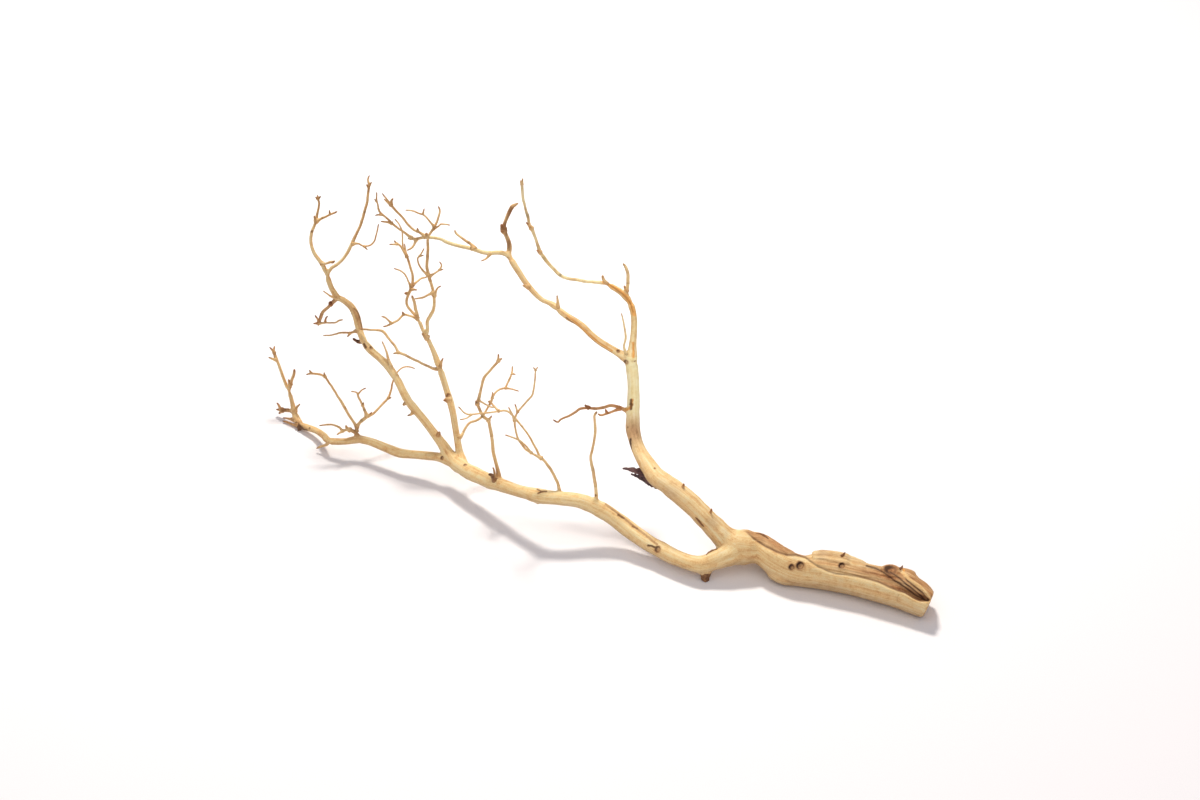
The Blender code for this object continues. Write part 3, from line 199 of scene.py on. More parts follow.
CROSSING_BRANCH = [
    (631, 361, 11, 178), (625, 357, 9.5, 181), (618.5, 353, 8, 184), (610, 348, 7.6, 188),
    (600, 341.8, 7.3, 194), (591, 334.5, 7.2, 200), (584, 327.5, 7.2, 207), (577, 322, 6.8, 212),
    (569, 317.5, 7.2, 216), (561.5, 312, 6.8, 221), (555.5, 306.5, 7.2, 226), (549, 302.8, 5.2, 230),
    (542.5, 300, 5.2, 233), (536.5, 295, 5.6, 238), (531, 289, 6, 244), (525, 281.5, 6.2, 251),
    (519.5, 273, 6.5, 259), (514, 264.5, 6.8, 267), (510, 257, 6.4, 273), (509, 252, 5.6, 277),
    (509.5, 246.5, 5, 282), (508.3, 240.5, 4.5, 288), (505.8, 234.5, 4.5, 293), (503.7, 228.5, 5, 299),
    (505, 222.5, 3.7, 305), (507.8, 215.5, 4.2, 311), (510.8, 209, 4.4, 317), (512.8, 206.3, 3.8, 319.5),
    (515.5, 204.8, 2.6, 321), (518.3, 202.8, 1.2, 323),
]
CROSSING_WAND = [
    (510, 257, 6, 273), (504, 253.3, 5, 277), (497, 252.6, 4.6, 278), (490.5, 253, 4.5, 278),
    (483, 252.3, 4.4, 279), (476, 250, 4.4, 282), (469, 248, 4.2, 284), (461, 246.3, 4, 286),
    (453, 244.3, 4, 288), (446, 241.8, 3.8, 291), (440.5, 239, 3.4, 294), (434, 237.8, 3.3, 295),
    (427, 237.2, 3.3, 296), (420.5, 238, 2.8, 295), (415.5, 239, 2.6, 294), (411, 238.3, 2.4, 295),
    (407.8, 238.5, 1.4, 295),
]
RIGHT_TOP_BRANCH = [
    (631, 361, 12.5, 178), (632, 352, 9.5, 186), (632.8, 343, 8, 195), (633.8, 333, 7.2, 205),
    (634.2, 323, 6.8, 215), (633.3, 313, 6.8, 225), (630.8, 304.5, 7.3, 233), (626.5, 297.3, 7.8, 240),
    (620.5, 291.7, 7, 246), (613, 287.3, 6, 250), (605.5, 283.3, 5, 254), (598, 282.3, 3.3, 255),
    (588, 281.7, 2.9, 256), (578, 280, 2.9, 258), (568.5, 278.6, 3, 259), (561, 275.6, 3.3, 262),
    (555, 270.3, 3.3, 267), (549, 263.8, 3.3, 274), (543.5, 257, 3.3, 281), (539.5, 250.3, 3.2, 288),
    (537, 243, 2.8, 295), (534.6, 235.5, 2.8, 303), (532.2, 229.5, 3.6, 309), (529.3, 223.5, 2.8, 315),
    (527.8, 216.5, 2.5, 322), (525.5, 208.5, 2.3, 330), (523.5, 200.5, 2.5, 338), (522.3, 192, 2.7, 346),
    (522, 185.5, 2.4, 352), (520.5, 180.5, 1.4, 357),
]

# %% What each limb grows on, and where it is parted from it
# Each solid after the trunk: what it grows on, its route, and how far along the route the cut before it is.
LIMBS = {
    "right_limb": ("trunk", RIGHT_LIMB, 64 * MM),
    "left_limb": ("trunk", LEFT_LIMB, 38 * MM),
    "low_left_branch": ("left_limb", LOW_LEFT_BRANCH, 38 * MM),
    "tall_left_branch": ("left_limb", TALL_LEFT_BRANCH, 36 * MM),
    "tall_left_hook": ("tall_left_branch", TALL_LEFT_HOOK, 11 * MM),
    "tall_right_wand": ("tall_left_branch", TALL_RIGHT_WAND, 11 * MM),
    "inner_branch": ("left_limb", INNER_BRANCH, 39 * MM),
    "inner_right_wand": ("inner_branch", INNER_RIGHT_WAND, 9 * MM),
    "inner_left_wand": ("inner_branch", INNER_LEFT_WAND, 9 * MM),
    "right_top_branch": ("right_limb", RIGHT_TOP_BRANCH, 20 * MM),
    "crossing_branch": ("right_limb", CROSSING_BRANCH, 20 * MM),
    "crossing_wand": ("crossing_branch", CROSSING_WAND, 13 * MM),
}

# Twigs long enough to be solids of their own, and how far along each the cut before it is.
TWIG_CUTS = {"straight_twig": 15 * MM, "short_spray": 14 * MM, "leaning_twig": 14 * MM,
             "leaning_fork": 7 * MM, "long_straw": 14 * MM, "lone_sprig": 7 * MM,
             "inner_straw": 9 * MM, "base_whip": 8 * MM, "dark_twig": 13 * MM}

# %% Routes of the twigs
# Twigs: name, the limb or twig it grows on, lean in mm at its tip towards the viewer (negative is away),
# and its route: across, down, thickness in mm. Twigs that carry no others share a plain running name.
TWIGS = [
    # On the left limb.
    ("straight_twig", "left_limb", 4, [
        (597, 507, 5), (596.3, 496, 3.8), (595.5, 486, 3.3), (594.3, 478, 3.1), (592.5, 468, 2.9),
        (590.5, 458.5, 2.6), (592, 451, 2.3), (594.3, 440, 2.3), (595.2, 429, 2.5), (594.5, 419, 2.2),
        (594.8, 415, 2), (597, 411.5, 1.6)]),
    ("short_spray", "left_limb", 0, [
        (499.5, 484, 7), (498.3, 473, 4.8), (496, 463, 3.9), (493.3, 452, 3.6), (492.3, 441, 3.5),
        (490.5, 429, 3.1), (488.3, 420.5, 3.2), (483.5, 416.5, 2.9), (480, 410.5, 2.8), (477.3, 403, 2.7),
        (479.3, 397, 2.7), (481.3, 388, 2.5), (484, 377.8, 2.6), (490, 370.5, 2.3), (498.3, 361.3, 2.3),
        (502.3, 358.3, 1.3)]),
    ("spray_tip", "short_spray", 4, [(498.3, 361.3, 2.2), (498.4, 354, 1.2)]),
    ("spray_spur", "short_spray", 10, [(488.3, 420.5, 2.4), (491.6, 416, 1)]),
    ("spray_nub", "short_spray", 5, [(477.8, 404, 2.6), (475.8, 401, 1.6)]),
    ("spray_thread", "short_spray", -14, [
        (478.3, 400, 1.8), (485, 404, 1.3), (491, 407, 1.2), (496, 407.3, 0.9)]),
    ("leaning_twig", "left_limb", 0, [
        (560.5, 498, 4.5), (558, 484, 2.9), (551.5, 471, 2.6), (543.5, 460, 2.5), (540, 457, 2.4),
        (537, 450.5, 2), (530, 437.5, 1.7), (523, 427.5, 1.5), (516.5, 420, 1.9), (511.5, 414.3, 1.7),
        (506.5, 411, 1.7), (499, 411.2, 1.5), (490, 412.6, 1.3), (480, 413.4, 1.3), (470, 414.4, 1.3),
        (464, 412.4, 1.1), (458.5, 406.5, 0.8)]),
    ("leaning_fork", "leaning_twig", 26, [
        (541.5, 458.5, 2.4), (535, 455, 2), (527, 450.3, 2), (521.5, 444, 1.9), (517.8, 438.5, 1.7),
        (515.6, 430, 1.5), (514.8, 421, 1.9), (517, 413.5, 1.5), (521, 408, 1.6), (527.5, 400.5, 1.6),
        (532.3, 395, 1.6), (534.2, 386, 1.4), (535.3, 376, 1.2), (535.8, 370, 1), (538, 367, 0.8)]),
    ("leaning_thread", "leaning_fork", 14, [
        (531, 452.8, 1.7), (525.5, 445.5, 1.4), (519.5, 440.3, 1.2), (512, 437.3, 1.2), (505.3, 434.8, 0.9)]),
    ("leaning_spur", "leaning_fork", 3, [(514.8, 421, 1.9), (512, 413.8, 1.6), (508.4, 407.3, 1)]),
    ("leaning_spur", "leaning_fork", 5, [(517.5, 412, 1.5), (515, 404, 1)]),
    ("leaning_spur", "leaning_fork", 2, [(535.8, 370.5, 1), (533.5, 367, 0.8)]),
    ("leaning_spur", "leaning_twig", -10, [(499, 411.2, 1.8), (494, 406, 1.7), (490.8, 402.6, 1.4)]),
    ("leaning_spur", "leaning_twig", 4, [(471.5, 414.3, 1.2), (466, 418.5, 1), (460, 419.6, 0.8)]),
    ("elbow_stub", "left_limb", 0, [(539, 496, 7), (537.5, 504.5, 3.5)]),
    ("spray_foot_stub", "left_limb", 16, [(496, 483, 6), (492, 475.5, 3.6), (489, 474.5, 2)]),
    ("spray_foot_spike", "left_limb", 12, [(496, 483, 4), (494.5, 473, 2.2), (492.8, 467.5, 1)]),
    # On the low left branch.
    ("low_tip_fork", "low_left_branch", 3, [(274.2, 353, 2), (272.5, 350, 1.7), (269.5, 347.3, 1)]),
    ("low_tip_fork", "low_left_branch", -3, [(274.2, 353, 2), (273.8, 350, 1.8), (274.7, 346.3, 1.4)]),
    ("low_tip_fork", "low_left_branch", 3, [(276.2, 359.5, 2.4), (272, 358.6, 1.8), (268.5, 357.4, 1.1)]),
    ("low_horn", "low_left_branch", 7, [
        (288.7, 391, 4.2), (290.6, 385, 3.3), (291.8, 380, 3.1), (294, 374.5, 2.8), (294.4, 369.5, 2.2)]),
    ("low_horn_nub", "low_horn", 2, [(290.6, 385, 2.8), (288.6, 379.4, 1.8)]),
    ("low_thread", "low_left_branch", 4, [(294.6, 413, 3), (297, 407, 1.8), (300, 403.8, 1)]),
    ("claw", "low_left_branch", -9, [
        (294.8, 413, 5), (290, 410.5, 4.2), (284, 410, 4), (281, 409.2, 3.4), (279, 405.5, 2.1),
        (276.8, 402.8, 1.2)]),
    ("claw_finger", "claw", -3, [(282, 410, 3), (276.3, 409.3, 1)]),
    ("claw_finger", "claw", -4, [(283, 410, 3), (279, 413.5, 1.4)]),
    ("claw_finger", "low_left_branch", -4, [(297, 419.5, 4), (289.5, 418.8, 2.2), (283, 417.8, 1.1)]),
    ("claw_finger", "low_left_branch", -7, [
        (300, 424, 4), (293, 424.5, 2), (287, 422, 1.6), (282.5, 421, 1)]),
    ("corner_twig", "low_left_branch", -6, [
        (329, 440.5, 5), (326.3, 444.6, 2.9), (321, 446.5, 2.2), (316.3, 448.4, 1)]),
    ("curl_twig", "low_left_branch", 5, [
        (359, 439.5, 6.5), (356.5, 434, 5), (352.5, 430.8, 3.6), (347.5, 429.8, 2.7), (342.5, 430.6, 2.4),
        (339.5, 427.5, 2.1), (334, 425, 1.6), (327, 424.6, 1.4), (319, 425.6, 0.9)]),
    ("curl_spur", "curl_twig", 6, [(343, 430.5, 1.9), (339.5, 432.8, 1.5), (337, 434.8, 0.9)]),
    ("curl_spur", "curl_twig", 4, [(350, 430.2, 3), (346.6, 427.6, 2.4), (346, 425.4, 1.8)]),
    ("long_straw", "low_left_branch", 8, [
        (358.5, 439.5, 6), (356.8, 431, 3.8), (355.3, 425, 2.9), (350.5, 417.5, 2.4), (344.3, 406.8, 2.7),
        (338, 396.5, 2.1), (331, 385.5, 2), (326, 378.3, 2), (321.5, 375, 2.1), (315.5, 373.8, 2),
        (310.5, 373.5, 1.8), (306, 374.6, 0.9)]),
    ("straw_nub", "long_straw", 1, [(324.8, 377.3, 1.9), (324, 372.3, 1.2)]),
    ("straw_nub", "long_straw", 1, [(311.3, 373.5, 1.6), (309.4, 369.8, 0.9)]),
    ("lone_sprig", "long_straw", -18, [
        (356, 427.5, 3.2), (360, 422.5, 2.7), (366.3, 417, 3.8), (371, 415.2, 2.4), (377, 410, 2),
        (384, 402.5, 2), (388.5, 397.5, 2), (391, 390.5, 1.8), (392.5, 383, 1.4), (394.5, 376.5, 1.2),
        (399, 370.5, 1.1), (404, 367.2, 1.1), (410, 366.8, 1), (415, 368.6, 0.8)]),
    ("sprig_post", "lone_sprig", 6, [
        (367, 416.8, 3), (364.3, 409.5, 2.2), (361, 402, 2), (358.3, 397, 1.8), (357.3, 393, 1.2),
        (355, 391.8, 1.1), (351, 391.4, 0.8)]),
    ("post_spur", "sprig_post", 3, [(357.8, 394.5, 1.2), (361.5, 390.3, 1), (366, 388, 0.8)]),
    ("post_spur", "sprig_post", 2, [(362.6, 406, 1.8), (363.4, 402.3, 1)]),
    ("post_spur", "lone_sprig", 3, [(368, 416.2, 2), (371.8, 412.2, 0.9)]),
    ("post_spur", "lone_sprig", 2, [(388, 398.2, 1.7), (391.3, 397.3, 0.9)]),
    # On the tall left branch.
    ("tall_thorn", "tall_left_branch", 2, [(415, 409.5, 4), (411.2, 414.3, 2), (407.3, 415.6, 0.8)]),
    ("tall_nub", "tall_left_branch", 0, [(408.5, 401.5, 6), (402.8, 405.2, 2.4)]),
    ("tall_nub", "tall_left_branch", 3, [(437, 437, 5), (439.8, 431.8, 1.6)]),
    ("ridge_twig", "tall_left_branch", -4, [
        (396.5, 378.5, 5), (391, 366, 3.6), (388, 358.5, 2.6), (386.4, 351, 1.6), (382, 341.2, 0.9)]),
    ("black_stub", "tall_left_branch", -8, [(364.5, 342, 5), (358, 341.5, 3.3), (353, 338.6, 2.2)]),
    ("lone_thread", "tall_left_branch", -12, [
        (360, 331.5, 4), (356.3, 330.8, 2.6), (350.5, 332.8, 2), (343, 332.6, 1.8), (336, 333.9, 1.4),
        (330, 335.4, 1.2), (323, 335.6, 0.8)]),
    ("thread_spur", "lone_thread", 3, [(350.5, 332.8, 1.6), (347.4, 336.8, 1)]),
    ("droop_arm", "tall_left_branch", -8, [
        (338, 297, 6), (333.5, 301.7, 4.4), (328, 307.3, 3.5), (323, 311.8, 3.7), (320.8, 317, 3.2),
        (318, 325.5, 1.8)]),
    ("droop_spur", "droop_arm", 2, [(331.5, 303.7, 3.4), (328.8, 302.6, 1.8)]),
    ("droop_spur", "droop_arm", 2, [(318.8, 323, 2), (313.3, 323.6, 1)]),
    ("droop_spur", "droop_arm", 4, [(319.3, 321.3, 2), (315, 315.3, 1)]),
    ("droop_thread", "droop_arm", 10, [
        (318.8, 322.8, 2), (326, 322.8, 1.5), (335, 322.8, 1.3), (339.5, 320.4, 1.4), (342.8, 320, 0.8)]),
    ("droop_spur", "droop_thread", 2, [(325, 322.8, 1.6), (325.6, 318.8, 1.4), (327.8, 316, 0.8)]),
    ("tall_thread", "tall_left_branch", 6, [(337.5, 297, 4), (331, 296.2, 1.7), (323, 290.8, 0.8)]),
    # On the two prongs above it.
    ("hook_finger", "tall_left_hook", 1, [(318, 199, 1.6), (315.4, 196.8, 0.8)]),
    ("hook_finger", "tall_left_hook", 1, [(318, 199, 1.6), (320.8, 196, 0.9)]),
    ("hook_thumb", "tall_left_hook", 6, [
        (316.5, 221, 3), (321.5, 218.6, 2.1), (327, 216, 1.9), (333, 213.5, 1.8), (337.3, 211.2, 1)]),
    ("hook_spur", "hook_thumb", 1, [(330, 214.7, 1.5), (329.2, 209.8, 0.8)]),
    ("hook_spur", "tall_left_hook", 2, [(316.3, 221, 2.6), (314, 215.6, 1.3)]),
    ("hook_arm", "tall_left_hook", 8, [
        (321.5, 263.3, 3), (325.3, 263.8, 1.9), (330.5, 262, 2.4), (332.8, 262.3, 2.8), (335, 260.8, 1)]),
    ("wand_hook", "tall_right_wand", 4, [
        (352, 243.8, 3), (358, 243.5, 1.5), (363, 245.8, 1.4), (369, 245.8, 1.3), (373.8, 242.2, 1.3),
        (376, 235.5, 1.1), (378.5, 223.8, 0.8)]),
    ("wand_spur", "wand_hook", 1, [(363.5, 245.8, 1.4), (367.6, 249.8, 0.8)]),
    ("wand_spur", "tall_right_wand", 1, [(369, 185.5, 1.7), (371.7, 181.8, 0.8)]),
    ("wand_spur", "tall_right_wand", 1, [(369, 187, 1.7), (366.2, 184.3, 0.8)]),
    # On the inner branch and its two prongs.
    ("inner_thorn", "inner_branch", 3, [(440, 369, 4.5), (441.5, 361.8, 2.2), (443.2, 358, 0.8)]),
    ("inner_nub", "inner_branch", 3, [(449.5, 399.5, 5), (443.3, 400.4, 1)]),
    ("inner_nub", "inner_branch", 2, [(427.6, 338, 4), (421.8, 333.4, 1.5)]),
    ("inner_straw", "inner_branch", -22, [
        (439.8, 369, 5), (434, 368.6, 2.9), (424, 364.4, 2.3), (411, 358, 2.3), (402, 353.7, 2.5),
        (397.8, 351.5, 2.4), (395, 345.8, 2.2), (388.5, 338, 2.2), (383, 331.3, 2.6), (375, 330.2, 1.7),
        (366, 329.3, 1.5), (360.5, 329, 1.1)]),
    ("straw_spur", "inner_straw", 1, [(398.5, 353, 2.2), (393.2, 353.6, 1)]),
    ("base_whip", "inner_branch", -24, [
        (456.9, 438, 4), (461.5, 435.5, 2.6), (465.3, 428.5, 2.2), (469.5, 423, 2.2), (476, 420.6, 2.2),
        (482, 416.4, 2.3), (486, 410.5, 1.8), (490.8, 402, 2.2), (492.6, 397.5, 1.9), (495, 393, 1.8),
        (499.5, 389.3, 1.7), (505, 388, 1.8), (507.5, 383.5, 1.7), (510.5, 377, 1.6), (512.2, 371, 1.4),
        (512.2, 366, 0.9)]),
    ("whip_spur", "base_whip", 3, [(505, 388, 1.7), (510.5, 388.7, 1.3), (519, 391.3, 0.8)]),
    ("whip_spur", "base_whip", 2, [(512, 374, 1.5), (515.6, 374.3, 0.8)]),
    ("whip_spur", "base_whip", 3, [(492.4, 398, 1.7), (492.6, 392, 0.8)]),
    ("whip_spur", "base_whip", 2, [(490.8, 402, 2.2), (488, 401.2, 1)]),
    ("wand_loop", "inner_right_wand", 5, [
        (433.8, 293, 2.8), (429.3, 294.2, 1.9), (423, 297.5, 1.7), (414.5, 299, 1)]),
    ("loop_spur", "inner_right_wand", 3, [
        (434, 296, 2.6), (436.3, 290.3, 1.7), (438.2, 287.5, 1.3), (441.3, 286, 0.8)]),
    ("cross_left", "inner_right_wand", 5, [
        (428.7, 275.5, 2.6), (423.3, 271, 1.7), (419, 264.7, 1.5), (417.6, 258.4, 1.3), (419.5, 256.4, 1.3),
        (423.8, 255.2, 0.9)]),
    ("loop_spur", "cross_left", 1, [(419.2, 256.7, 1.2), (424.2, 248.3, 0.8)]),
    ("cross_right", "inner_right_wand", -8, [
        (429, 276.5, 2.6), (434, 273.7, 1.6), (439, 270.6, 1.5), (443.2, 269.3, 0.9)]),
    ("loop_spur", "cross_right", -2, [(439, 270.6, 1.4), (441.6, 265.4, 1.2), (439.3, 261.6, 0.8)]),
    ("top_fan", "inner_right_wand", 6, [
        (434.5, 227, 2), (430.5, 222.4, 1.5), (424.5, 215.5, 1.4), (419.5, 213.5, 1.3), (412.5, 211, 1.2),
        (405.5, 210.2, 0.8)]),
    ("fan_spur", "top_fan", 1, [(423, 214.5, 1.3), (424.3, 208.5, 0.8)]),
    ("fan_spur", "inner_right_wand", -5, [
        (433.5, 229, 2), (438.5, 226.4, 1.3), (441.5, 224, 1.3), (450.3, 225.2, 0.8)]),
    ("left_post", "inner_left_wand", 7, [
        (417.8, 318.5, 3.4), (415.9, 310, 3.1), (414.2, 302, 2.8), (411.8, 295.4, 1.8)]),
    ("left_arm", "inner_left_wand", 9, [
        (418.3, 319, 2.8), (411, 316.2, 1.9), (403.8, 314.9, 2), (398, 320.3, 1.9), (391.5, 323.6, 2.1),
        (386.5, 325.8, 1.4), (382.8, 326.6, 0.9)]),
    ("arm_spur", "left_arm", 1, [(404.2, 315, 1.9), (402.3, 311.8, 1.1)]),
    ("arm_spur", "left_arm", 4, [
        (391.8, 323.4, 1.8), (387.5, 319.5, 1.4), (384.8, 317.2, 1.6), (381.5, 316.3, 0.8)]),
    ("left_bud", "inner_left_wand", 2, [(408.8, 293.5, 2.4), (404.5, 293.3, 1.8)]),
    ("left_bud", "inner_left_wand", 2, [(411, 289, 2.2), (417.3, 290.1, 0.9)]),
    ("left_thread", "inner_left_wand", 7, [
        (411.4, 287.3, 2.2), (408.6, 281.5, 1.4), (404.3, 273.6, 1.3), (399, 270.3, 1.1),
        (393.8, 268.3, 0.8)]),
    ("left_bridge", "inner_left_wand", -12, [
        (411.8, 286, 2.4), (417.5, 281.3, 1.7), (421.5, 278.3, 1.6), (427, 277.2, 1)]),
    ("left_tine", "inner_left_wand", -5, [
        (407, 257.3, 2.2), (404, 250, 1.5), (402.5, 242, 1.2), (402.3, 232, 1.1), (399.5, 225, 1),
        (394.5, 218.8, 0.8)]),
    ("left_tine", "inner_left_wand", -2, [(406.6, 256, 1.8), (405.4, 249.5, 1.3), (404.6, 243.5, 0.8)]),
    ("left_tine", "inner_left_wand", 3, [(397.5, 244, 1.6), (389.3, 244.5, 0.8)]),
    # On the right limb.
    ("dark_twig", "right_limb", -10, [
        (633, 412, 8), (626, 410.3, 5), (620.5, 407.8, 3.5), (611.5, 405.7, 3), (604, 407.2, 2.8),
        (596, 408.6, 2.6), (588, 407.9, 2.5), (580.5, 408.6, 2.3), (575.5, 412, 2.4), (567.5, 416.5, 2),
        (561, 419.3, 1.7), (557.8, 422.3, 1.4), (553, 419.6, 0.9)]),
    ("dark_curl", "dark_twig", 7, [
        (620.5, 408, 3), (613.5, 411.2, 2.1), (606.5, 413.8, 2), (601, 415.4, 1.8), (598, 413.8, 1)]),
    ("curl_bud", "dark_curl", 1, [(607, 413.6, 2), (605.3, 409, 1.2)]),
    ("dark_spur", "dark_twig", 2, [(588.5, 407.9, 2.4), (584.7, 404.8, 1.7)]),
    ("pale_shoot", "right_limb", 4, [
        (629, 362, 6), (624.3, 348.5, 2.2), (625.8, 337, 1.9), (624.6, 328, 1.6), (621.6, 313, 0.8)]),
    ("limb_thorn", "right_limb", 5, [(708, 520, 6), (711.8, 508.8, 1.2)]),
    ("limb_thorn", "right_limb", 5, [(681, 494, 6), (684, 483.4, 1.2)]),
    # On the branches above it.
    ("top_tine", "right_top_branch", -4, [
        (629.5, 302, 6), (627, 291.5, 4), (628, 283, 3.3), (627.8, 273.5, 3.1), (625.6, 267, 2.7),
        (622.8, 263.3, 1.6)]),
    ("tine_nub", "top_tine", 2, [(627, 291, 2.6), (624, 285.6, 1.6)]),
    ("top_curl", "right_top_branch", 2, [(607.5, 284.5, 4), (603.8, 280, 3), (602.6, 275.2, 2.2)]),
    ("top_spur", "right_top_branch", 2, [(532, 229, 2.8), (526.2, 222.3, 1.2)]),
    ("top_spur", "right_top_branch", 2, [(540.5, 252.3, 2.6), (536.6, 250.2, 1)]),
    ("top_spur", "right_top_branch", 1, [(522, 184.5, 1.8), (522.8, 178.3, 0.9)]),
    ("crossing_thorn", "crossing_branch", 3, [(558, 309, 5), (557.6, 301, 2.2), (557.2, 295, 0.9)]),
    ("crossing_thorn", "crossing_branch", 3, [(528.7, 286, 4), (522.4, 285.6, 1)]),
    ("stub_knob", "crossing_branch", 2, [(504, 229.5, 4), (501, 224.2, 1.8)]),
    ("stub_knob", "crossing_branch", 3, [(504.5, 231.5, 4), (500.9, 231, 1.8)]),
    ("wand_shoot", "crossing_wand", -5, [
        (474, 249.3, 3.8), (471, 244.3, 2.5), (463.5, 239.2, 2.2), (456.3, 233.6, 2), (454.8, 229.8, 1.1)]),
    ("wand_tassel", "crossing_wand", 5, [(490.5, 253, 2.2), (486.5, 258.3, 1.5), (481, 261.2, 0.8)]),
    ("wand_bud", "crossing_wand", 1, [(427, 237.2, 3), (426.3, 233, 2.2)]),
    ("far_ray", "crossing_wand", 3, [
        (426.5, 237.2, 3), (420.5, 233, 2.2), (414.5, 230.3, 2), (408.5, 225, 2), (401, 216, 2),
        (394, 208.5, 2.2), (390.5, 204.5, 2.4), (386.5, 199.3, 1.4), (382.2, 193.3, 0.8)]),
    ("ray_spur", "far_ray", 1, [(418, 231.7, 1.9), (417.4, 228, 1)]),
    ("ray_spur", "far_ray", 2, [(391, 205, 2.2), (391.6, 200.6, 2), (393.3, 198.3, 1)]),
    ("ray_spur", "far_ray", -4, [(391, 205, 1.9), (388, 203, 1.2), (384, 198.8, 0.8)]),
    ("low_ray", "crossing_wand", 4, [
        (412, 238.6, 2.6), (405, 233, 2), (397.5, 227.8, 1.8), (391.5, 222.8, 2), (384.5, 216.3, 1.7),
        (381, 213.3, 1.7), (378.6, 209.4, 1.7), (377.5, 203.5, 1.2), (374.3, 199.2, 0.8)]),
    ("ray_spur", "low_ray", 1, [(377, 202, 1.1), (376.8, 192, 0.8)]),
    ("ray_spur", "low_ray", 2, [(382.5, 214.5, 1.6), (375, 215.4, 0.8)]),
    ("ray_spur", "low_ray", 3, [(392.5, 223.6, 2), (387, 222.2, 1.7), (380.8, 221.2, 1)]),
    ("wand_leg", "crossing_wand", 6, [
        (416.3, 239, 2.6), (414.6, 243.8, 1.9), (412, 247.6, 1.7), (407, 250.6, 0.9)]),
]

# %% Feet and bark
# Stubs that the branch stands on: what they grow on, and the route down to the table.
FEET = [
    ("left_limb", [(706, 564, 12, 18), (705.5, 573, 10, 8.5), (705, 577.3, 9, 3), (705, 579.3, 8, 0.12)]),
    ("low_left_branch", [(302, 425.5, 7, 6), (299.5, 428, 5.5, 3), (299.5, 430, 4.5, 0.25)]),
]

# The dead spur of bark and split wood on the underside of the right limb, in two layers.
BARK_LAYERS = [
    [(667, 486, 15, 80), (655, 482, 13, 78), (643, 474.5, 9, 77), (632, 470.5, 5, 76),
     (622.5, 469.5, 1.6, 76)],
    [(664, 487, 12, 78), (650, 483.5, 7, 75), (640, 478.5, 4.5, 74), (631, 475, 1.6, 73)],
]

# %% Numbers of the trunk's section
# Angles go round the trunk from straight up towards the viewer, in degrees, and distances run along it
# from the saw cut, in mm. The living side is a smooth roll of sapwood that ends in a lip, at these angles,
# and behind the lip, up to the back angle, the dead side lies lower.
LIP_ANGLE = [(0, 60), (43, 66), (78, 50), (105, 56), (128, 40), (146, 2), (180, 8), (205, -12), (260, -20)]
DEAD_BACK_ANGLE = -105
DEAD_DEPTH = 2.6 * MM
LIP_ROLL = 0.9 * MM

# The saw cut isn't square to the stem. It reaches out this far at the middle, and this much farther for
# each mm towards the viewer and for each mm up, so its face is seen almost edge-on.
SAW_REACH = 1.8 * MM
SAW_SLANT_FRONT = 0.185
SAW_SLANT_UP = 0.18
SAW_STRETCH = 16 * MM

# Lumps on the trunk: distance along, angle, height, half length along, half width in degrees.
TRUNK_LUMPS = [
    (20, -40, 1.6 * MM, 14, 30),
    (34, -48, 4.5 * MM, 10, 24),
    (86, -40, 3.0 * MM, 10, 22),
    (112, -42, 4.4 * MM, 22, 26),
    (164, 138, 2.6 * MM, 12, 30),
    (184, 145, -4.2 * MM, 10, 32),
    (30, -145, 5.5 * MM, 18, 26),
    (100, -145, 5.0 * MM, 20, 26),
    (160, -145, 4.5 * MM, 18, 26),
]
# The stub of a lost branch on the trunk, as a route like those of the limbs.
KNOT_STUB = [(890, 586, 16, 21), (890.5, 566.3, 15, 43)]


# %% [markdown]
# Between its route points a stem bends smoothly. A Catmull-Rom curve passes through every point that
# was read off the photograph, and carries the radius along with the place.

# %% From route points to smooth stems
def route_of(points):
    """Rows of (x, y, z, radius) in metres from rows of (across, down, thickness mm, height mm)."""
    table = np.array(points, float)
    places = view_points(table[:, 0], table[:, 1], table[:, 3] * MM)
    return np.column_stack([places, table[:, 2] * MM / 2])


def smooth_curve(knots, step=1 * MM):
    """Samples about a step apart on the Catmull-Rom curve through the knots.

    Between knots b and c, with a before and d beyond them, the point at t from 0 to 1 is
    (2b + (c - a) t + (2a - 5b + 4c - d) t^2 + (3b - a - 3c + d) t^3) / 2.
    """
    knots = np.asarray(knots, float)
    padded = np.vstack([knots[:1], knots, knots[-1:]])
    spans = np.linalg.norm(np.diff(knots[:, :3], axis=0), axis=1)
    pieces = np.maximum(1, np.round(spans / step).astype(int))
    index = np.repeat(np.arange(len(spans)), pieces)
    t = np.concatenate([np.arange(n) / n for n in pieces])[:, None]
    a, b, c, d = (padded[index + k] for k in range(4))
    curve = 2 * b + (c - a) * t + (2 * a - 5 * b + 4 * c - d) * t**2 + (3 * b - a - 3 * c + d) * t**3
    return np.vstack([curve / 2, knots[-1:]])


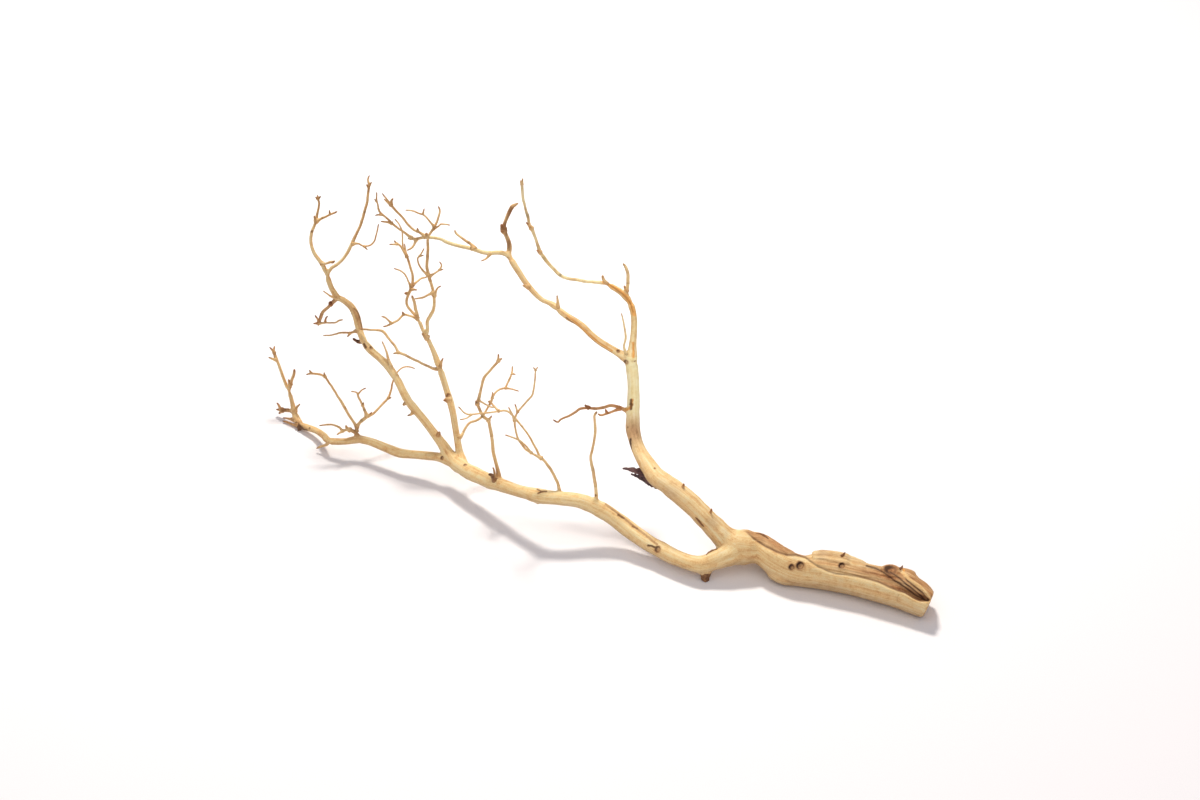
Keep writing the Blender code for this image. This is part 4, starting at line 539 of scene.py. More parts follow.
class Stem:
    """One limb or twig: its samples, how far along it each lies, and the nodes that hold it."""

    def __init__(self, name, knots, node, root_node=None, cut=0.0, reference=TO_VIEWER, carrier=None):
        self.name = name
        self.samples = smooth_curve(knots)
        self.node = node
        self.root_node = root_node or node
        self.cut = cut
        self.carrier = carrier
        steps = np.linalg.norm(np.diff(self.samples[:, :3], axis=0), axis=1)
        self.along = np.concatenate([[0.0], np.cumsum(steps)])
        self.tangent, self.side, self.other = self.frames(reference)
        _, self.grain_side, self.grain_other = self.frames(TO_VIEWER)
        self.grain_start = np.zeros(3) if carrier is None else carrier.grain_at(self.samples[0, :3])

    def frames(self, reference, reach=3):
        """Directions at each sample: along t, u = the reference square to t, and u x t."""
        last = len(self.samples) - 1
        here = np.arange(last + 1)
        centres = self.samples[:, :3]
        tangent = centres[np.minimum(here + reach, last)] - centres[np.maximum(here - reach, 0)]
        tangent /= np.linalg.norm(tangent, axis=1, keepdims=True)
        side = reference - (tangent @ reference)[:, None] * tangent
        side /= np.linalg.norm(side, axis=1, keepdims=True)
        return tangent, side, np.cross(side, tangent)

    def nearest(self, place):
        """The number of the sample that lies nearest to a place."""
        return int(np.linalg.norm(self.samples[:, :3] - place, axis=1).argmin())

    def grain_at(self, place):
        """The grain coordinates of a place: across the stem in two directions, and along it."""
        at = self.nearest(place)
        off = place - self.samples[at, :3]
        sideways = [off @ self.grain_side[at], off @ self.grain_other[at]]
        return self.grain_start + np.array([*sideways, self.along[at]])

    def beyond_carrier(self, pick):
        """How far beyond its carrier's surface the picked samples lie, measured along the stem."""
        held = self.carrier.nearest(self.samples[0, :3])
        return np.maximum(self.along[pick] - self.carrier.samples[held, 3], 0)

    def place_for(self, across, down):
        """The sample that lies under this place in the view, and the node that holds it."""
        here_across, here_down, _ = view_pixels(self.samples[:, :3])
        best = int(np.argmin(np.hypot(here_across - across, here_down - down)))
        return self.samples[best], self.root_node if self.along[best] < self.cut else self.node


def twig_knots(points, lean, start):
    """A twig's route: from its start it spreads in the fan's plane and leans out of it."""
    table = np.array(points, float)
    steps = np.hypot(*np.diff(table[:, :2], axis=0).T)
    share = np.concatenate([[0.0], np.cumsum(steps)])
    share /= share[-1]
    height = start[2] + FAN_RISE * (table[0, 1] - table[:, 1]) + lean * MM * share
    knots = np.column_stack([view_points(table[:, 0], table[:, 1], height), table[:, 2] * MM / 2])
    knots[0, :3] = start[:3]
    return knots


# %% Every stem of the branch
stems = [Stem("trunk", route_of(TRUNK), "trunk", reference=np.array([0.0, 0.0, 1.0]))]
by_name = {"trunk": stems[0]}
for name, (carrier, points, cut) in LIMBS.items():
    by_name[name] = Stem(name, route_of(points), name, carrier, cut, carrier=by_name[carrier])
    stems.append(by_name[name])
for name, carrier, lean, points in TWIGS:
    start, node = by_name[carrier].place_for(*points[0][:2])
    cut = TWIG_CUTS.get(name, 0.0)
    own = name if name in TWIG_CUTS else node
    by_name[name] = Stem(name, twig_knots(points, lean, start), own, node, cut, carrier=by_name[carrier])
    stems.append(by_name[name])
for node, points in FEET:
    stems.append(Stem(node + "_foot", route_of(points), node, carrier=by_name[node]))
stems.append(Stem("knot_stub", route_of(KNOT_STUB), "trunk", carrier=by_name["trunk"]))
print("stems:", len(stems), " wood in all:", round(sum(stem.along[-1] for stem in stems), 2), "m")

# %% [markdown]
# ## Surfaces
#
# A stem is a two-parameter grid: distance along it, and angle round it. Natural wood is never quite
# round, so a smooth noise from a lattice of hashed numbers swells and dents it a little.

# %% Noise and grids
def smooth_step(low, high, value):
    """Rises from 0 at low to 1 at high as t^2 (3 - 2t). With low above high it falls instead."""
    t = np.clip((value - low) / (high - low), 0.0, 1.0)
    return t * t * (3 - 2 * t)


def bell(value):
    """The bell curve exp(-x^2): 1 at 0, about a third at 1, and next to nothing past 2."""
    return np.exp(-value**2)


def lattice_noise(points, seed=0):
    """Smooth noise from -1 to 1: the hashed values at the eight corners round a point, blended."""
    base = np.floor(points).astype(np.int64)
    t = points - base
    t = t * t * (3 - 2 * t)
    total = np.zeros(len(points))
    for corner in np.ndindex(2, 2, 2):
        cell = base + np.array(corner)
        code = cell[:, 0] * 73856093 ^ cell[:, 1] * 19349663 ^ cell[:, 2] * 83492791 ^ (seed * 7919 + 17)
        code = (code ^ (code >> 13)) * 1274126177
        code = code ^ (code >> 16)
        weight = np.prod(np.where(np.array(corner) == 1, t, 1 - t), axis=1)
        total += weight * ((code & 0xFFFF) / 32767.5 - 1)
    return total


def grid_faces(rings, sides):
    """Quads of a closed-round grid, and the two fans that close its ends, all facing outwards."""
    i, j = np.meshgrid(np.arange(rings - 1), np.arange(sides), indexing="ij")
    n = (j + 1) % sides
    quads = np.stack([i * sides + j, (i + 1) * sides + j, (i + 1) * sides + n, i * sides + n], -1)
    k = np.arange(sides)
    m = (k + 1) % sides
    first, last = rings * sides, rings * sides + 1
    end = (rings - 1) * sides
    fans = np.vstack([np.column_stack([np.full(sides, first), k, m]),
                      np.column_stack([np.full(sides, last), end + m, end + k])])
    return quads.reshape(-1, 4), fans


def angles_round(sides):
    """The angles of the sides of a ring, from 0 up to one turn."""
    return np.linspace(0, 2 * math.pi, sides, endpoint=False)


def straightened(angle, reach, along):
    """Where a surface would lie if its stem were straight: (r cos a, r sin a, distance along)."""
    return np.stack([np.cos(angle)[None] * reach, np.sin(angle)[None] * reach,
                     np.repeat(along[:, None], len(angle), 1)], -1).reshape(-1, 3)


def slant_of_cut(stem, off, along):
    """How far points of the trunk's end, off its middle line by this much, move out along it.

    The cut reaches out SAW_REACH, and farther in proportion to how far a point lies to the front and up.
    The wood behind it is drawn out over SAW_STRETCH.
    """
    out = SAW_REACH + SAW_SLANT_FRONT * (off @ stem.other[0]) + SAW_SLANT_UP * (off @ stem.side[0])
    return -(out * smooth_step(SAW_STRETCH, 0, along))[..., None] * stem.tangent[0]


def tube(stem, pick, sides, radius):
    """A stem's surface at the picked samples.

    point(s, a) = centre(s) + radius(s, a) * (cos a * side(s) + sin a * other(s))
    Returns the points, the quads, the end fans and the grain coordinates.
    """
    angle = angles_round(sides)
    side, other = stem.side[pick][:, None], stem.other[pick][:, None]
    ring = np.cos(angle)[None, :, None] * side + np.sin(angle)[None, :, None] * other
    points = stem.samples[pick, None, :3] + radius[..., None] * ring
    ends = stem.samples[pick[[0, -1]], :3]
    if stem.name == "trunk":
        points = points + slant_of_cut(stem, radius[..., None] * ring, stem.along[pick][:, None])
        ends = ends + slant_of_cut(stem, 0 * ends, stem.along[pick[[0, -1]]])
    grain = np.stack([radius * np.cos(angle), radius * np.sin(angle),
                      np.broadcast_to(stem.along[pick][:, None], radius.shape)], -1) + stem.grain_start
    end_grain = np.column_stack([np.zeros((2, 2)), stem.along[pick[[0, -1]]]]) + stem.grain_start
    quads, fans = grid_faces(len(pick), sides)
    return np.vstack([points.reshape(-1, 3), ends]), quads, fans, np.vstack([grain.reshape(-1, 3), end_grain])


# %% [markdown]
# ## The trunk's relief
#
# The trunk's lower side is living sapwood in a smooth roll. It ends in a lip, where it once grew over
# a wound, and behind the lip the dead heartwood lies about 3 mm lower. Towards the saw cut the dead
# side opens into a deep split with sharp ridges. All of it is read off the photograph as lines, so on
# the side that faces the viewer the relief depends on how far a point lies from these lines.

# %% Lines on the trunk, across and down in the view
LIP = [
    (745.5, 532.2), (754, 540), (766, 547.8), (776.5, 553), (787, 556.4), (796.3, 556.3), (805, 558.4),
    (811.5, 563.3), (818, 567.7), (828.8, 572.5), (836.4, 575.2), (845, 575.8), (856, 577.4), (866.8, 580),
    (877.6, 582.8), (888.5, 587.7), (897, 591.5), (904.7, 593.7), (913.4, 599), (920, 601.8), (928.6, 601.8),
    (934, 598.6),
]
SPLIT_FLOOR = [(874, 571), (884, 577), (894, 584), (906, 592), (916, 598), (926, 601), (934, 601)]
SPLIT_FLOOR_DEPTH = [0, 1.5, 3.0, 4.5, 5.5, 6.0, 5.0]
SPLIT_GROOVES = [
    [(866.8, 566), (876.5, 568.7), (884, 572.5), (893.9, 580), (904.7, 586.6), (914.5, 594.2),
     (927.5, 601.3)],
    [(889.5, 571.5), (899.3, 578), (908, 585.6), (917.7, 593), (924.3, 599)],
    [(901.5, 571.5), (908, 581.2), (916.7, 587.7), (924.3, 594.2), (929, 599.7)],
]
SPLIT_RIDGE = [(902.6, 572.5), (910, 580), (920, 586.6), (925.3, 593), (930.8, 599.7)]
# Half widths in view units, and depths or heights. The ridge gets higher along its run.
FLOOR_WIDTH = 4.4
GROOVE_WIDTH, GROOVE_DEPTH = 1.1, 1.5 * MM
RIDGE_WIDTH, RIDGE_START, RIDGE_GAIN = 1.9, 1.2, 2.6
# The lip runs slantwise, so how far a place lies from it is this share of how far it lies below it.
LIP_NEARNESS = 0.93
# The lip's roll lies this far below its line, and is as wide.
ROLL_MIDDLE, ROLL_WIDTH = 3.2, 3.0
# The stretch of the view in which the lip, at its far end, rises out of the round wood.
LIP_FADE = (736, 752)
# Old wood that stands higher: the ledge behind the lip, from its start to its end across the view, with
# its place, level and slope in the view, and a hump before it.
LEDGE_START, LEDGE_END = (811.8, 813.2), (852, 846)
LEDGE_PLACE, LEDGE_LEVEL, LEDGE_SLOPE = 812, 552, 0.17
LEDGE_RISE = 2.2 * MM
HUMP_MIDDLE, HUMP_WIDTH, HUMP_RISE = 803, 6.5, 0.9 * MM
# The edge of the dead strip beside the first fork is ragged.
RAGGED_START, RAGGED_END = (748, 758), (806, 794)
RAGGED_RISE = 1.0 * MM
RAGGED_SIZE = 4.5 * MM
# A notch at the front of the saw cut, and the worn edge all round it.
NOTCH_DEPTH = 3.2 * MM
WORN_EDGE = 1.3 * MM


def line_distance(across, down, line):
    """How far each place is from a chain of straight pieces, and how far along it, from 0 to 1."""
    line = np.array(line, float)
    start, step = line[:-1], np.diff(line, axis=0)
    length = np.hypot(*step.T)
    off = np.stack([across, down], -1)[..., None, :] - start
    share = np.clip((off * step).sum(-1) / length**2, 0, 1)
    gap = np.linalg.norm(off - share[..., None] * step, axis=-1)
    best = gap.argmin(-1)
    at = np.take_along_axis(share, best[..., None], -1)[..., 0]
    run = (np.concatenate([[0], np.cumsum(length)])[best] + at * length[best]) / length.sum()
    return gap.min(-1), run


def trunk_relief(stem, angle, points):
    """How far the trunk's surface stands off its round section, in metres.

    In view the dead wood starts at the lip's line, and out of view at the lip's angle.
    """
    along = (stem.along / MM)[:, None]
    degrees = np.degrees(angle)[None, :]
    lip = np.interp(along, *np.array(LIP_ANGLE).T)
    behind = smooth_step(0, 9, lip - degrees) * smooth_step(0, 20, degrees - DEAD_BACK_ANGLE)
    across, down, _ = view_pixels(points.reshape(-1, 3))
    across, down = across.reshape(behind.shape), down.reshape(behind.shape)
    towards_viewer = ((points - stem.samples[:, None, :3]) @ TO_VIEWER) / stem.samples[:, 3][:, None]
    in_view = smooth_step(-0.1, 0.3, towards_viewer)
    over_top = smooth_step(-0.95, -0.6, towards_viewer)
    below_lip = (down - np.interp(across, *np.array(LIP).T)) * LIP_NEARNESS
    past_lip = smooth_step(0.4, -1.6, below_lip) * smooth_step(*LIP_FADE, across)
    dead = in_view * past_lip + (1 - in_view) * behind

    # The dead side lies lower, most of all right behind the lip, and the lip itself is rolled.
    relief = -DEAD_DEPTH * dead * (1 - 0.5 * smooth_step(140, 200, along))
    relief -= in_view * dead * LIP_ROLL * np.exp(np.minimum(below_lip, 0) / 3)
    roll = bell((below_lip - ROLL_MIDDLE) / ROLL_WIDTH) * in_view * smooth_step(736, 756, across)
    relief += LIP_ROLL * roll

    # The split: its floor, its grooves, and the ridge that is left standing in it.
    gap, run = line_distance(across, down, SPLIT_FLOOR)
    depth = np.interp(run, np.linspace(0, 1, len(SPLIT_FLOOR_DEPTH)), SPLIT_FLOOR_DEPTH) * MM
    relief -= depth * bell(gap / FLOOR_WIDTH) * in_view * past_lip
    for groove in SPLIT_GROOVES:
        gap, _ = line_distance(across, down, groove)
        relief -= GROOVE_DEPTH * bell(gap / GROOVE_WIDTH) * in_view * dead
    gap, run = line_distance(across, down, SPLIT_RIDGE)
    relief += (RIDGE_START + RIDGE_GAIN * run) * MM * bell(gap / RIDGE_WIDTH) * in_view * dead

    # Lumps, the ledge with the hump before it, and the ragged edge.
    for place, turn, height, half_length, half_width in TRUNK_LUMPS:
        off = np.hypot((along - place) / half_length, (degrees - turn) / half_width)
        relief = relief + height * np.exp(-off**4)
    ledge = smooth_step(*LEDGE_START, across) * smooth_step(*LEDGE_END, across) * dead
    below_ledge = down - LEDGE_LEVEL - LEDGE_SLOPE * (across - LEDGE_PLACE)
    relief += LEDGE_RISE * ledge * smooth_step(6.5, 3.5, below_ledge) * over_top
    relief += HUMP_RISE * bell((across - HUMP_MIDDLE) / HUMP_WIDTH) * dead * over_top
    ragged = lattice_noise(points.reshape(-1, 3) / RAGGED_SIZE, seed=61).reshape(behind.shape)
    ragged = ragged * smooth_step(*RAGGED_START, across) * smooth_step(*RAGGED_END, across)
    relief += RAGGED_RISE * ragged * dead * over_top

    # The saw cut's notch and worn edge, and a section that is never quite round.
    relief -= NOTCH_DEPTH * np.exp(-((along / 5.5) ** 2) - ((degrees + 32) / 38) ** 2)
    relief -= WORN_EDGE * smooth_step(2.2, 0, along)
    relief = relief + 0.8 * MM * np.sin(np.radians(2 * degrees + 40))
    return relief + 0.5 * MM * np.sin(np.radians(3 * degrees) + along / 23)


# %% Thick wood: one closed shell for each stem while it is thick
# From the thin radius down a stem goes on as a fine tube. The remesh shaves a little off the skin, which
# is added before.
THIN = 1.6 * MM
REMESH_LOSS = 0.14 * MM
SHORTEST_CORE = 5 * MM
TRUNK_SIDES = 160
LIMB_SIDES = 40
# Stems whose end lies inside others and is rounded, and how long the rounding is, in radii.
ROUND_ENDS = {"trunk": 1.0, "left_limb": 2.0, "right_limb": 1.0, "tall_left_branch": 2.0, "inner_branch": 2.0}
# Dents and swellings: their size and their share of the radius. The broken feet are rough.
SMOOTH_BUMPS = (9 * MM, 0.045)
ROUGH_BUMPS = (3 * MM, 0.2)
FLARE = 0.3
FLARE_LENGTH = 1.1


def core_reach(stem, pick, sides, seed):
    """How far the surface of a thick stem lies from its middle line, at each sample and angle."""
    radius = stem.samples[:, 3]
    angle = angles_round(sides)
    reach = np.repeat(radius[pick][:, None], sides, 1) + REMESH_LOSS
    if stem.name == "trunk":
        turn = (angle + math.pi) % (2 * math.pi) - math.pi
        round_points = tube(stem, pick, sides, reach)[0][:-2].reshape(len(pick), sides, 3)
        reach = reach + trunk_relief(stem, turn, round_points)
    else:
        bump_size, bump_height = ROUGH_BUMPS if stem.name.endswith("foot") else SMOOTH_BUMPS
        bumps = lattice_noise(straightened(angle, reach, stem.along[pick]) / bump_size, seed=seed)
        reach = reach * (1 + bump_height * bumps.reshape(reach.shape))
    if stem.carrier is not None:
        fade = np.exp(-stem.beyond_carrier(pick) / (FLARE_LENGTH * radius[pick]))
        reach = reach * (1 + FLARE * fade)[:, None]
    if stem.name in ROUND_ENDS:
        left = (stem.along[-1] - stem.along[pick]) / (radius[pick[-1]] * ROUND_ENDS[stem.name])
        reach = reach * np.sqrt(np.clip(1 - np.clip(1 - left, 0, 1) ** 2, 0.01, 1))[:, None]
    if stem.core_end < len(radius):
        left = stem.along[pick[-1]] - stem.along[pick]
        reach = reach * np.sqrt(np.clip(left / (2.5 * MM), 0.15, 1))[:, None]
    return reach


core_points, core_faces, core_stems = [], [], []
offset = 0
for stem in stems:
    count = len(stem.samples)
    thin = np.flatnonzero(stem.samples[:, 3] < THIN)
    last = int(thin[0]) if len(thin) else count
    stem.core_end = last if stem.along[min(last, count - 1)] > SHORTEST_CORE and last > 5 else 0
    if stem.core_end == 0:
        continue
    pick = np.arange(stem.core_end)
    sides = TRUNK_SIDES if stem.name == "trunk" else LIMB_SIDES
    points, quads, fans, _ = tube(stem, pick, sides, core_reach(stem, pick, sides, len(core_stems)))
    core_points.append(points)
    core_faces += (quads + offset).tolist() + (fans + offset).tolist()
    core_stems.append(stem)
    offset += len(points)
print("thick stems:", len(core_stems), " points:", offset)

# %% [markdown]
# ## Melting the stems together
#
# A fork is not two pipes pushed into each other: the wood flows from one into the other. A voxel
# remesh turns all thick shells into one skin with an even mesh, and then the skin is relaxed, lightly
# all over and strongly near the forks, where that leaves the round web of a real crotch.

# %% One skin over all thick stems
VOXEL = 0.76 * MM


def melted(mesh, voxel):
    """A new mesh: the skin that a voxel remesh lays round everything in this one."""
    carrier = placed("skin_carrier", mesh)
    modifier = carrier.modifiers.new("melt", "REMESH")
    modifier.mode = "VOXEL"
    modifier.voxel_size = voxel
    modifier.adaptivity = 0.0
    bpy.context.view_layer.update()
    result = bpy.data.meshes.new_from_object(carrier.evaluated_get(bpy.context.evaluated_depsgraph_get()))
    bpy.data.objects.remove(carrier)
    return result


def read_all(items, name, kind, width):
    """One property of all vertices, loops or edges of a mesh, as rows of an array."""
    values = np.empty(len(items) * width, kind)
    items.foreach_get(name, values)
    return values.reshape(-1, width)


raw = bpy.data.meshes.new("raw_skin")
raw.from_pydata(np.vstack(core_points).tolist(), [], core_faces)
skin = melted(raw, VOXEL)
bpy.data.meshes.remove(raw)
points = read_all(skin.vertices, "co", float, 3)
quads = read_all(skin.loops, "vertex_index", np.int64, 1).reshape(-1, 4)
edges = read_all(skin.edges, "vertices", np.int64, 2)
print("skin points:", len(points), " quads:", len(quads))


# %% Which stem each skin point belongs to
def nearest_stems(points, stems, chunk=6000):
    """Each point's stem and the sample whose surface is nearest, and how much farther the next stem is."""
    index = [np.arange(0, stem.core_end, 2) for stem in stems]
    samples = np.vstack([stem.samples[at] for stem, at in zip(stems, index)]).astype(np.float32)
    centre, radius = samples[:, :3].copy(), samples[:, 3].copy()
    owner = np.concatenate([np.full(len(at), k) for k, at in enumerate(index)])
    index = np.concatenate(index)
    best = np.empty(len(points), np.int64)
    gap = np.empty(len(points), np.float32)
    for low in range(0, len(points), chunk):
        here = points[low:low + chunk].astype(np.float32)
        square = (here**2).sum(1)[:, None] + (centre**2).sum(1)[None] - 2 * here @ centre.T
        off = np.sqrt(np.maximum(square, 0)) - radius
        nearest = off.argmin(1)
        own = off[np.arange(len(here)), nearest]
        off[owner[None, :] == owner[nearest][:, None]] = 1.0
        best[low:low + chunk] = nearest
        gap[low:low + chunk] = off.min(1) - own
    return owner[best], index[best], gap


owner, sample, gap = nearest_stems(points, core_stems)
print("points near a fork:", int((gap < 3 * MM).sum()))


# %% Relaxing the skin
# Steps out and in by turns smooth the skin and keep its size.
SMOOTHING = (0.55, -0.57) * 4
WEB_ROUNDS = 80
# A fork's web is as wide as this, or as this share of the stem's radius, whichever is more.
WEB_WIDTH = 4 * MM
WEB_SHARE = 0.75
# The skin near the saw cut isn't relaxed, so that its edge stays sharp: none up to the first distance.
SHARP_EDGE = (0.6 * MM, 2.5 * MM)
# The end of the trunk, where the limbs start, is relaxed as a fork is.
TRUNK_FORK = (176 * MM, 190 * MM)


def neighbour_mean(values, edges):
    """For each point the mean over the points that an edge joins it to."""
    count = np.bincount(edges.ravel(), minlength=len(values))
    total = np.empty_like(values)
    for axis in range(values.shape[1]):
        total[:, axis] = (np.bincount(edges[:, 0], values[edges[:, 1], axis], len(values))
                          + np.bincount(edges[:, 1], values[edges[:, 0], axis], len(values)))
    return total / np.maximum(count, 1)[:, None]


cut_ahead, cut_up, cut_front = stems[0].tangent[0], stems[0].side[0], stems[0].other[0]
cut_middle = stems[0].samples[0, :3] - SAW_REACH * cut_ahead
cut_inwards = cut_ahead + SAW_SLANT_FRONT * cut_front + SAW_SLANT_UP * cut_up
cut_inwards /= np.linalg.norm(cut_inwards)
from_cut = (points - cut_middle) @ cut_inwards
away_from_cut = smooth_step(*SHARP_EDGE, from_cut)[:, None]
for strength in SMOOTHING:
    points = points + strength * away_from_cut * (neighbour_mean(points, edges) - points)
local_radius = np.empty(len(points))
for k, stem in enumerate(core_stems):
    local_radius[owner == k] = stem.samples[sample[owner == k], 3]
web = smooth_step(1.0, 0.25, gap / np.maximum(WEB_WIDTH, WEB_SHARE * local_radius))
trunk_place = stems[0].along[np.minimum(sample, len(stems[0].along) - 1)]
fork_end = (owner == 0) * smooth_step(*TRUNK_FORK, trunk_place)
web = np.maximum(web, 0.9 * fork_end)[:, None] * away_from_cut
for _ in range(WEB_ROUNDS):
    points = points + 0.5 * web * (neighbour_mean(points, edges) - points)

# What relaxing took off slender stems is put back: each stretch is moved out to its stem's own thickness.
# It is measured clear of the forks, and then smoothed along the skin.
SLENDER = 7 * MM
MOST_PUT_BACK = 0.7 * MM
CLEAR_OF_FORK = 2 * MM
PUT_BACK_ROUNDS = 12
off_axis = np.empty_like(points)
for k, stem in enumerate(core_stems):
    mine = owner == k
    off = points[mine] - stem.samples[sample[mine], :3]
    ahead = stem.tangent[sample[mine]]
    off_axis[mine] = off - (off * ahead).sum(1)[:, None] * ahead
reached = np.linalg.norm(off_axis, axis=1)
first_sample = np.concatenate([[0], np.cumsum([len(stem.samples) for stem in core_stems])])
stretch = first_sample[owner] + sample
clear = gap > CLEAR_OF_FORK
met = np.bincount(stretch[clear], minlength=first_sample[-1])
mean_reach = np.bincount(stretch[clear], reached[clear], first_sample[-1]) / np.maximum(met, 1)
lost = np.zeros(len(points))
slender = (met[stretch] > 3) & (owner > 0) & (local_radius < SLENDER)
lost[slender] = np.clip(local_radius[slender] * 1.02 - mean_reach[stretch[slender]], 0, MOST_PUT_BACK)
for _ in range(PUT_BACK_ROUNDS):
    lost = 0.5 * lost + 0.5 * neighbour_mean(lost[:, None], edges)[:, 0]
points = points + off_axis / np.maximum(reached, 1e-6)[:, None] * lost[:, None]
print("put back on slender stems, mm:", round(float(lost[slender].mean()) / MM, 3))
print("relaxed; lowest point, mm:", round(float(points[:, 2].min()) / MM, 3))


# %% [markdown]
# ## Grain coordinates
#
# Wood grain follows the stem. Each point gets the place it has in its own stem: how far it lies from
# the middle line in two directions, and how far along. A pattern that is fine across and long along
# these coordinates looks like grain, with no seam round the back, and a carved place shows its layers.

# %% Where each skin point lies in its stem
def row_dot(first, second):
    """The dot product of each row of one array with that row of the other."""
    return np.einsum("ij,ij->i", first, second)


grain = np.empty((len(points), 3))
run_along = np.empty(len(points))
for k, stem in enumerate(core_stems):
    mine = np.flatnonzero(owner == k)
    at = sample[mine]
    off = points[mine] - stem.samples[at, :3]
    ahead = np.clip(row_dot(off, stem.tangent[at]), -2 * MM, 2 * MM)
    run_along[mine] = stem.along[at] + ahead
    grain[mine, 0] = row_dot(off, stem.grain_side[at])
    grain[mine, 1] = row_dot(off, stem.grain_other[at])
    grain[mine, 2] = run_along[mine]
    grain[mine] += stem.grain_start
calm = smooth_step(0, 5 * MM, gap)


def grain_noise(places, width, length, seed):
    """Smooth noise over grain coordinates that is width mm across the grain and length mm along it."""
    return lattice_noise(places / np.array([width * MM, width * MM, length * MM]), seed=seed)


def point_normals(points, quads):
    """Unit normals: for each quad the cross product of its diagonals, summed at its corners."""
    cross = np.cross(points[quads[:, 2]] - points[quads[:, 0]], points[quads[:, 3]] - points[quads[:, 1]])
    total = np.zeros((len(points), 3))
    for corner in range(4):
        for axis in range(3):
            total[:, axis] += np.bincount(quads[:, corner], cross[:, axis], len(points))
    return total / np.maximum(np.linalg.norm(total, axis=1, keepdims=True), 1e-12)


normals = point_normals(points, quads)
across, down, depth = view_pixels(points)
facing = normals @ TO_VIEWER
# A point is in view when it faces the viewer and lies less than this behind the nearest of its pixel.
HIDDEN_DEPTH = 7 * MM
wide, high = VIEW_SIZE
cell = np.clip(down, 0, high - 1).astype(int) * wide + np.clip(across, 0, wide - 1).astype(int)
nearest_depth = np.full(wide * high, np.inf)
np.minimum.at(nearest_depth, cell, depth)
in_front = smooth_step(0.0, 0.25, facing) * (depth < nearest_depth[cell] + HIDDEN_DEPTH)
print("points that face the viewer:", int((in_front > 0.5).sum()))

# %% [markdown]
# ## Old wounds, knots and stains
#
# Every mark of the real branch is placed where the photograph shows it. A knot is a small ring with a
# pit in it, anchored to the nearest surface point under its place in the view, so that it stays a
# round knot from every side. A scar is a line with a width.

# %% Marks: across, down, half width in view units, pit depth mm, rim height mm, darkness
KNOTS = [
    (890.8, 566.4, 6.3, 2.6, 0.7, 0.9), (842, 565.5, 3.4, 0.8, 0.5, 1.0), (792, 567.1, 3.0, 0.8, 0.4, 1.0),
    (800.4, 565.5, 3.9, 1.1, 0.5, 1.0), (657.8, 549, 3.1, 0.8, 0.4, 0.85),
    (465, 462.5, 1.8, 0.4, 0.2, 0.7), (442, 458, 1.9, 0.5, 0.3, 0.9), (631, 404.5, 1.9, 0.8, 0.2, 0.9),
    (625, 363, 2.4, 0.7, 0.3, 0.8), (627.4, 427.5, 0.9, 0.2, 0, 0.8), (655.4, 466, 1.1, 0.3, 0, 0.7),
    (636.5, 363, 0.9, 0.2, 0, 0.6), (560.5, 274.8, 1.5, 0.3, 0.2, 0.8), (618.5, 351, 1.6, 0.4, 0.2, 0.8),
    (472, 248, 1.6, 0.3, 0.2, 0.8), (371.5, 347.5, 1.6, 0.4, 0.3, 0.8), (312.5, 231.5, 1.2, 0.2, 0.2, 0.8),
    (316.5, 222.5, 1.2, 0.2, 0.2, 0.8), (352.5, 242, 1.2, 0.2, 0.2, 0.8), (448.5, 396, 2.3, 0.6, 0.3, 0.45),
    (309, 428, 1.2, 0.3, 0, 0.7), (315, 424, 1.3, 0.2, 0.2, 0.6), (482, 416.5, 1.1, 0.1, 0.1, 0.8),
    (476.5, 402.5, 1.1, 0.1, 0.1, 0.8), (594.5, 496, 1.1, 0.2, 0.1, 0.8), (365, 212, 0.9, 0.1, 0.1, 0.7),
]
# Scars and painted shade lines: half width in view units, depth mm, heartwood brown, dark, and the line.
SCARS = [
    (0.9, 0.5, 0.8, 0.6, [(537.4, 489.3), (541.7, 491.2), (546.6, 491.2)]),
    (0.8, 0.5, 0.8, 0.6, [(537.8, 493.4), (541.7, 491.4)]),
    (1.1, 0.6, 0.7, 0.8, [(648, 545.5), (651.5, 546), (655, 547.4)]),
    (2.6, 0.5, 0.55, 0.1, [(354.3, 310.5), (357, 316), (359.3, 322), (360.3, 328)]),
    (0.6, 0.2, 0.5, 0.6, [(354.3, 308.5), (357.8, 311.5), (361, 319), (362.4, 328.5)]),
    (1.0, 0.3, 0.3, 0.9, [(350.8, 314), (352.8, 323)]),
    (1.3, 0.3, 0.5, 0.7, [(364, 344.5), (365.5, 347.5)]),
    (1.2, 0.4, 0.5, 0.9, [(630.3, 439.5), (630.5, 448.5)]),
    (1.3, 0.4, 0.6, 0.8, [(631, 400), (631, 409)]),
    (1.3, 0.4, 0.6, 0.2, [(606, 504), (617, 512.5), (630, 523), (645, 534.5), (657, 544.5)]),
    (1.4, 0.5, 0.8, 0.6, [(618.5, 514.7), (624, 518)]),
    (1.1, 0.4, 0.8, 0.5, [(632.5, 526), (637.5, 528.5)]),
    # Partly painted shade: the dark brown under the left tip, where it rests on the table.
    (3.4, 0.3, 0.8, 0.8, [(297, 425), (301, 430), (305, 432)]),
    (1.3, 0.2, 0.3, 0.4, [(509, 250), (508.5, 240), (504.5, 231), (505.5, 222), (509, 213), (515, 205)]),
    (1.2, 0.3, 0.3, 0.8, [(453.5, 447), (454.5, 451)]),
    (0.5, 0.2, 0.2, 0.12, [(899, 594.5), (897, 598), (896.8, 601.5)]),
    # Painted shadow: a dark line along the trunk's lower edge, where it meets the table.
    (0.8, 0.0, 0.3, 0.5, [(788, 586), (806, 589.5), (830, 592)]),
    (0.75, 0.6, 0.8, 0.35, [(633.5, 313), (630, 303), (624.5, 295.5), (616, 289.5), (604.5, 281)]),
    # The line along the crossing branch's lower edge is painted shade in a brown-orange tone.
    (0.7, 0.3, 0.8, 0.3, [(566, 317.5), (576.5, 326), (588.5, 337.5), (598.5, 345.5), (611, 352.8)]),
]
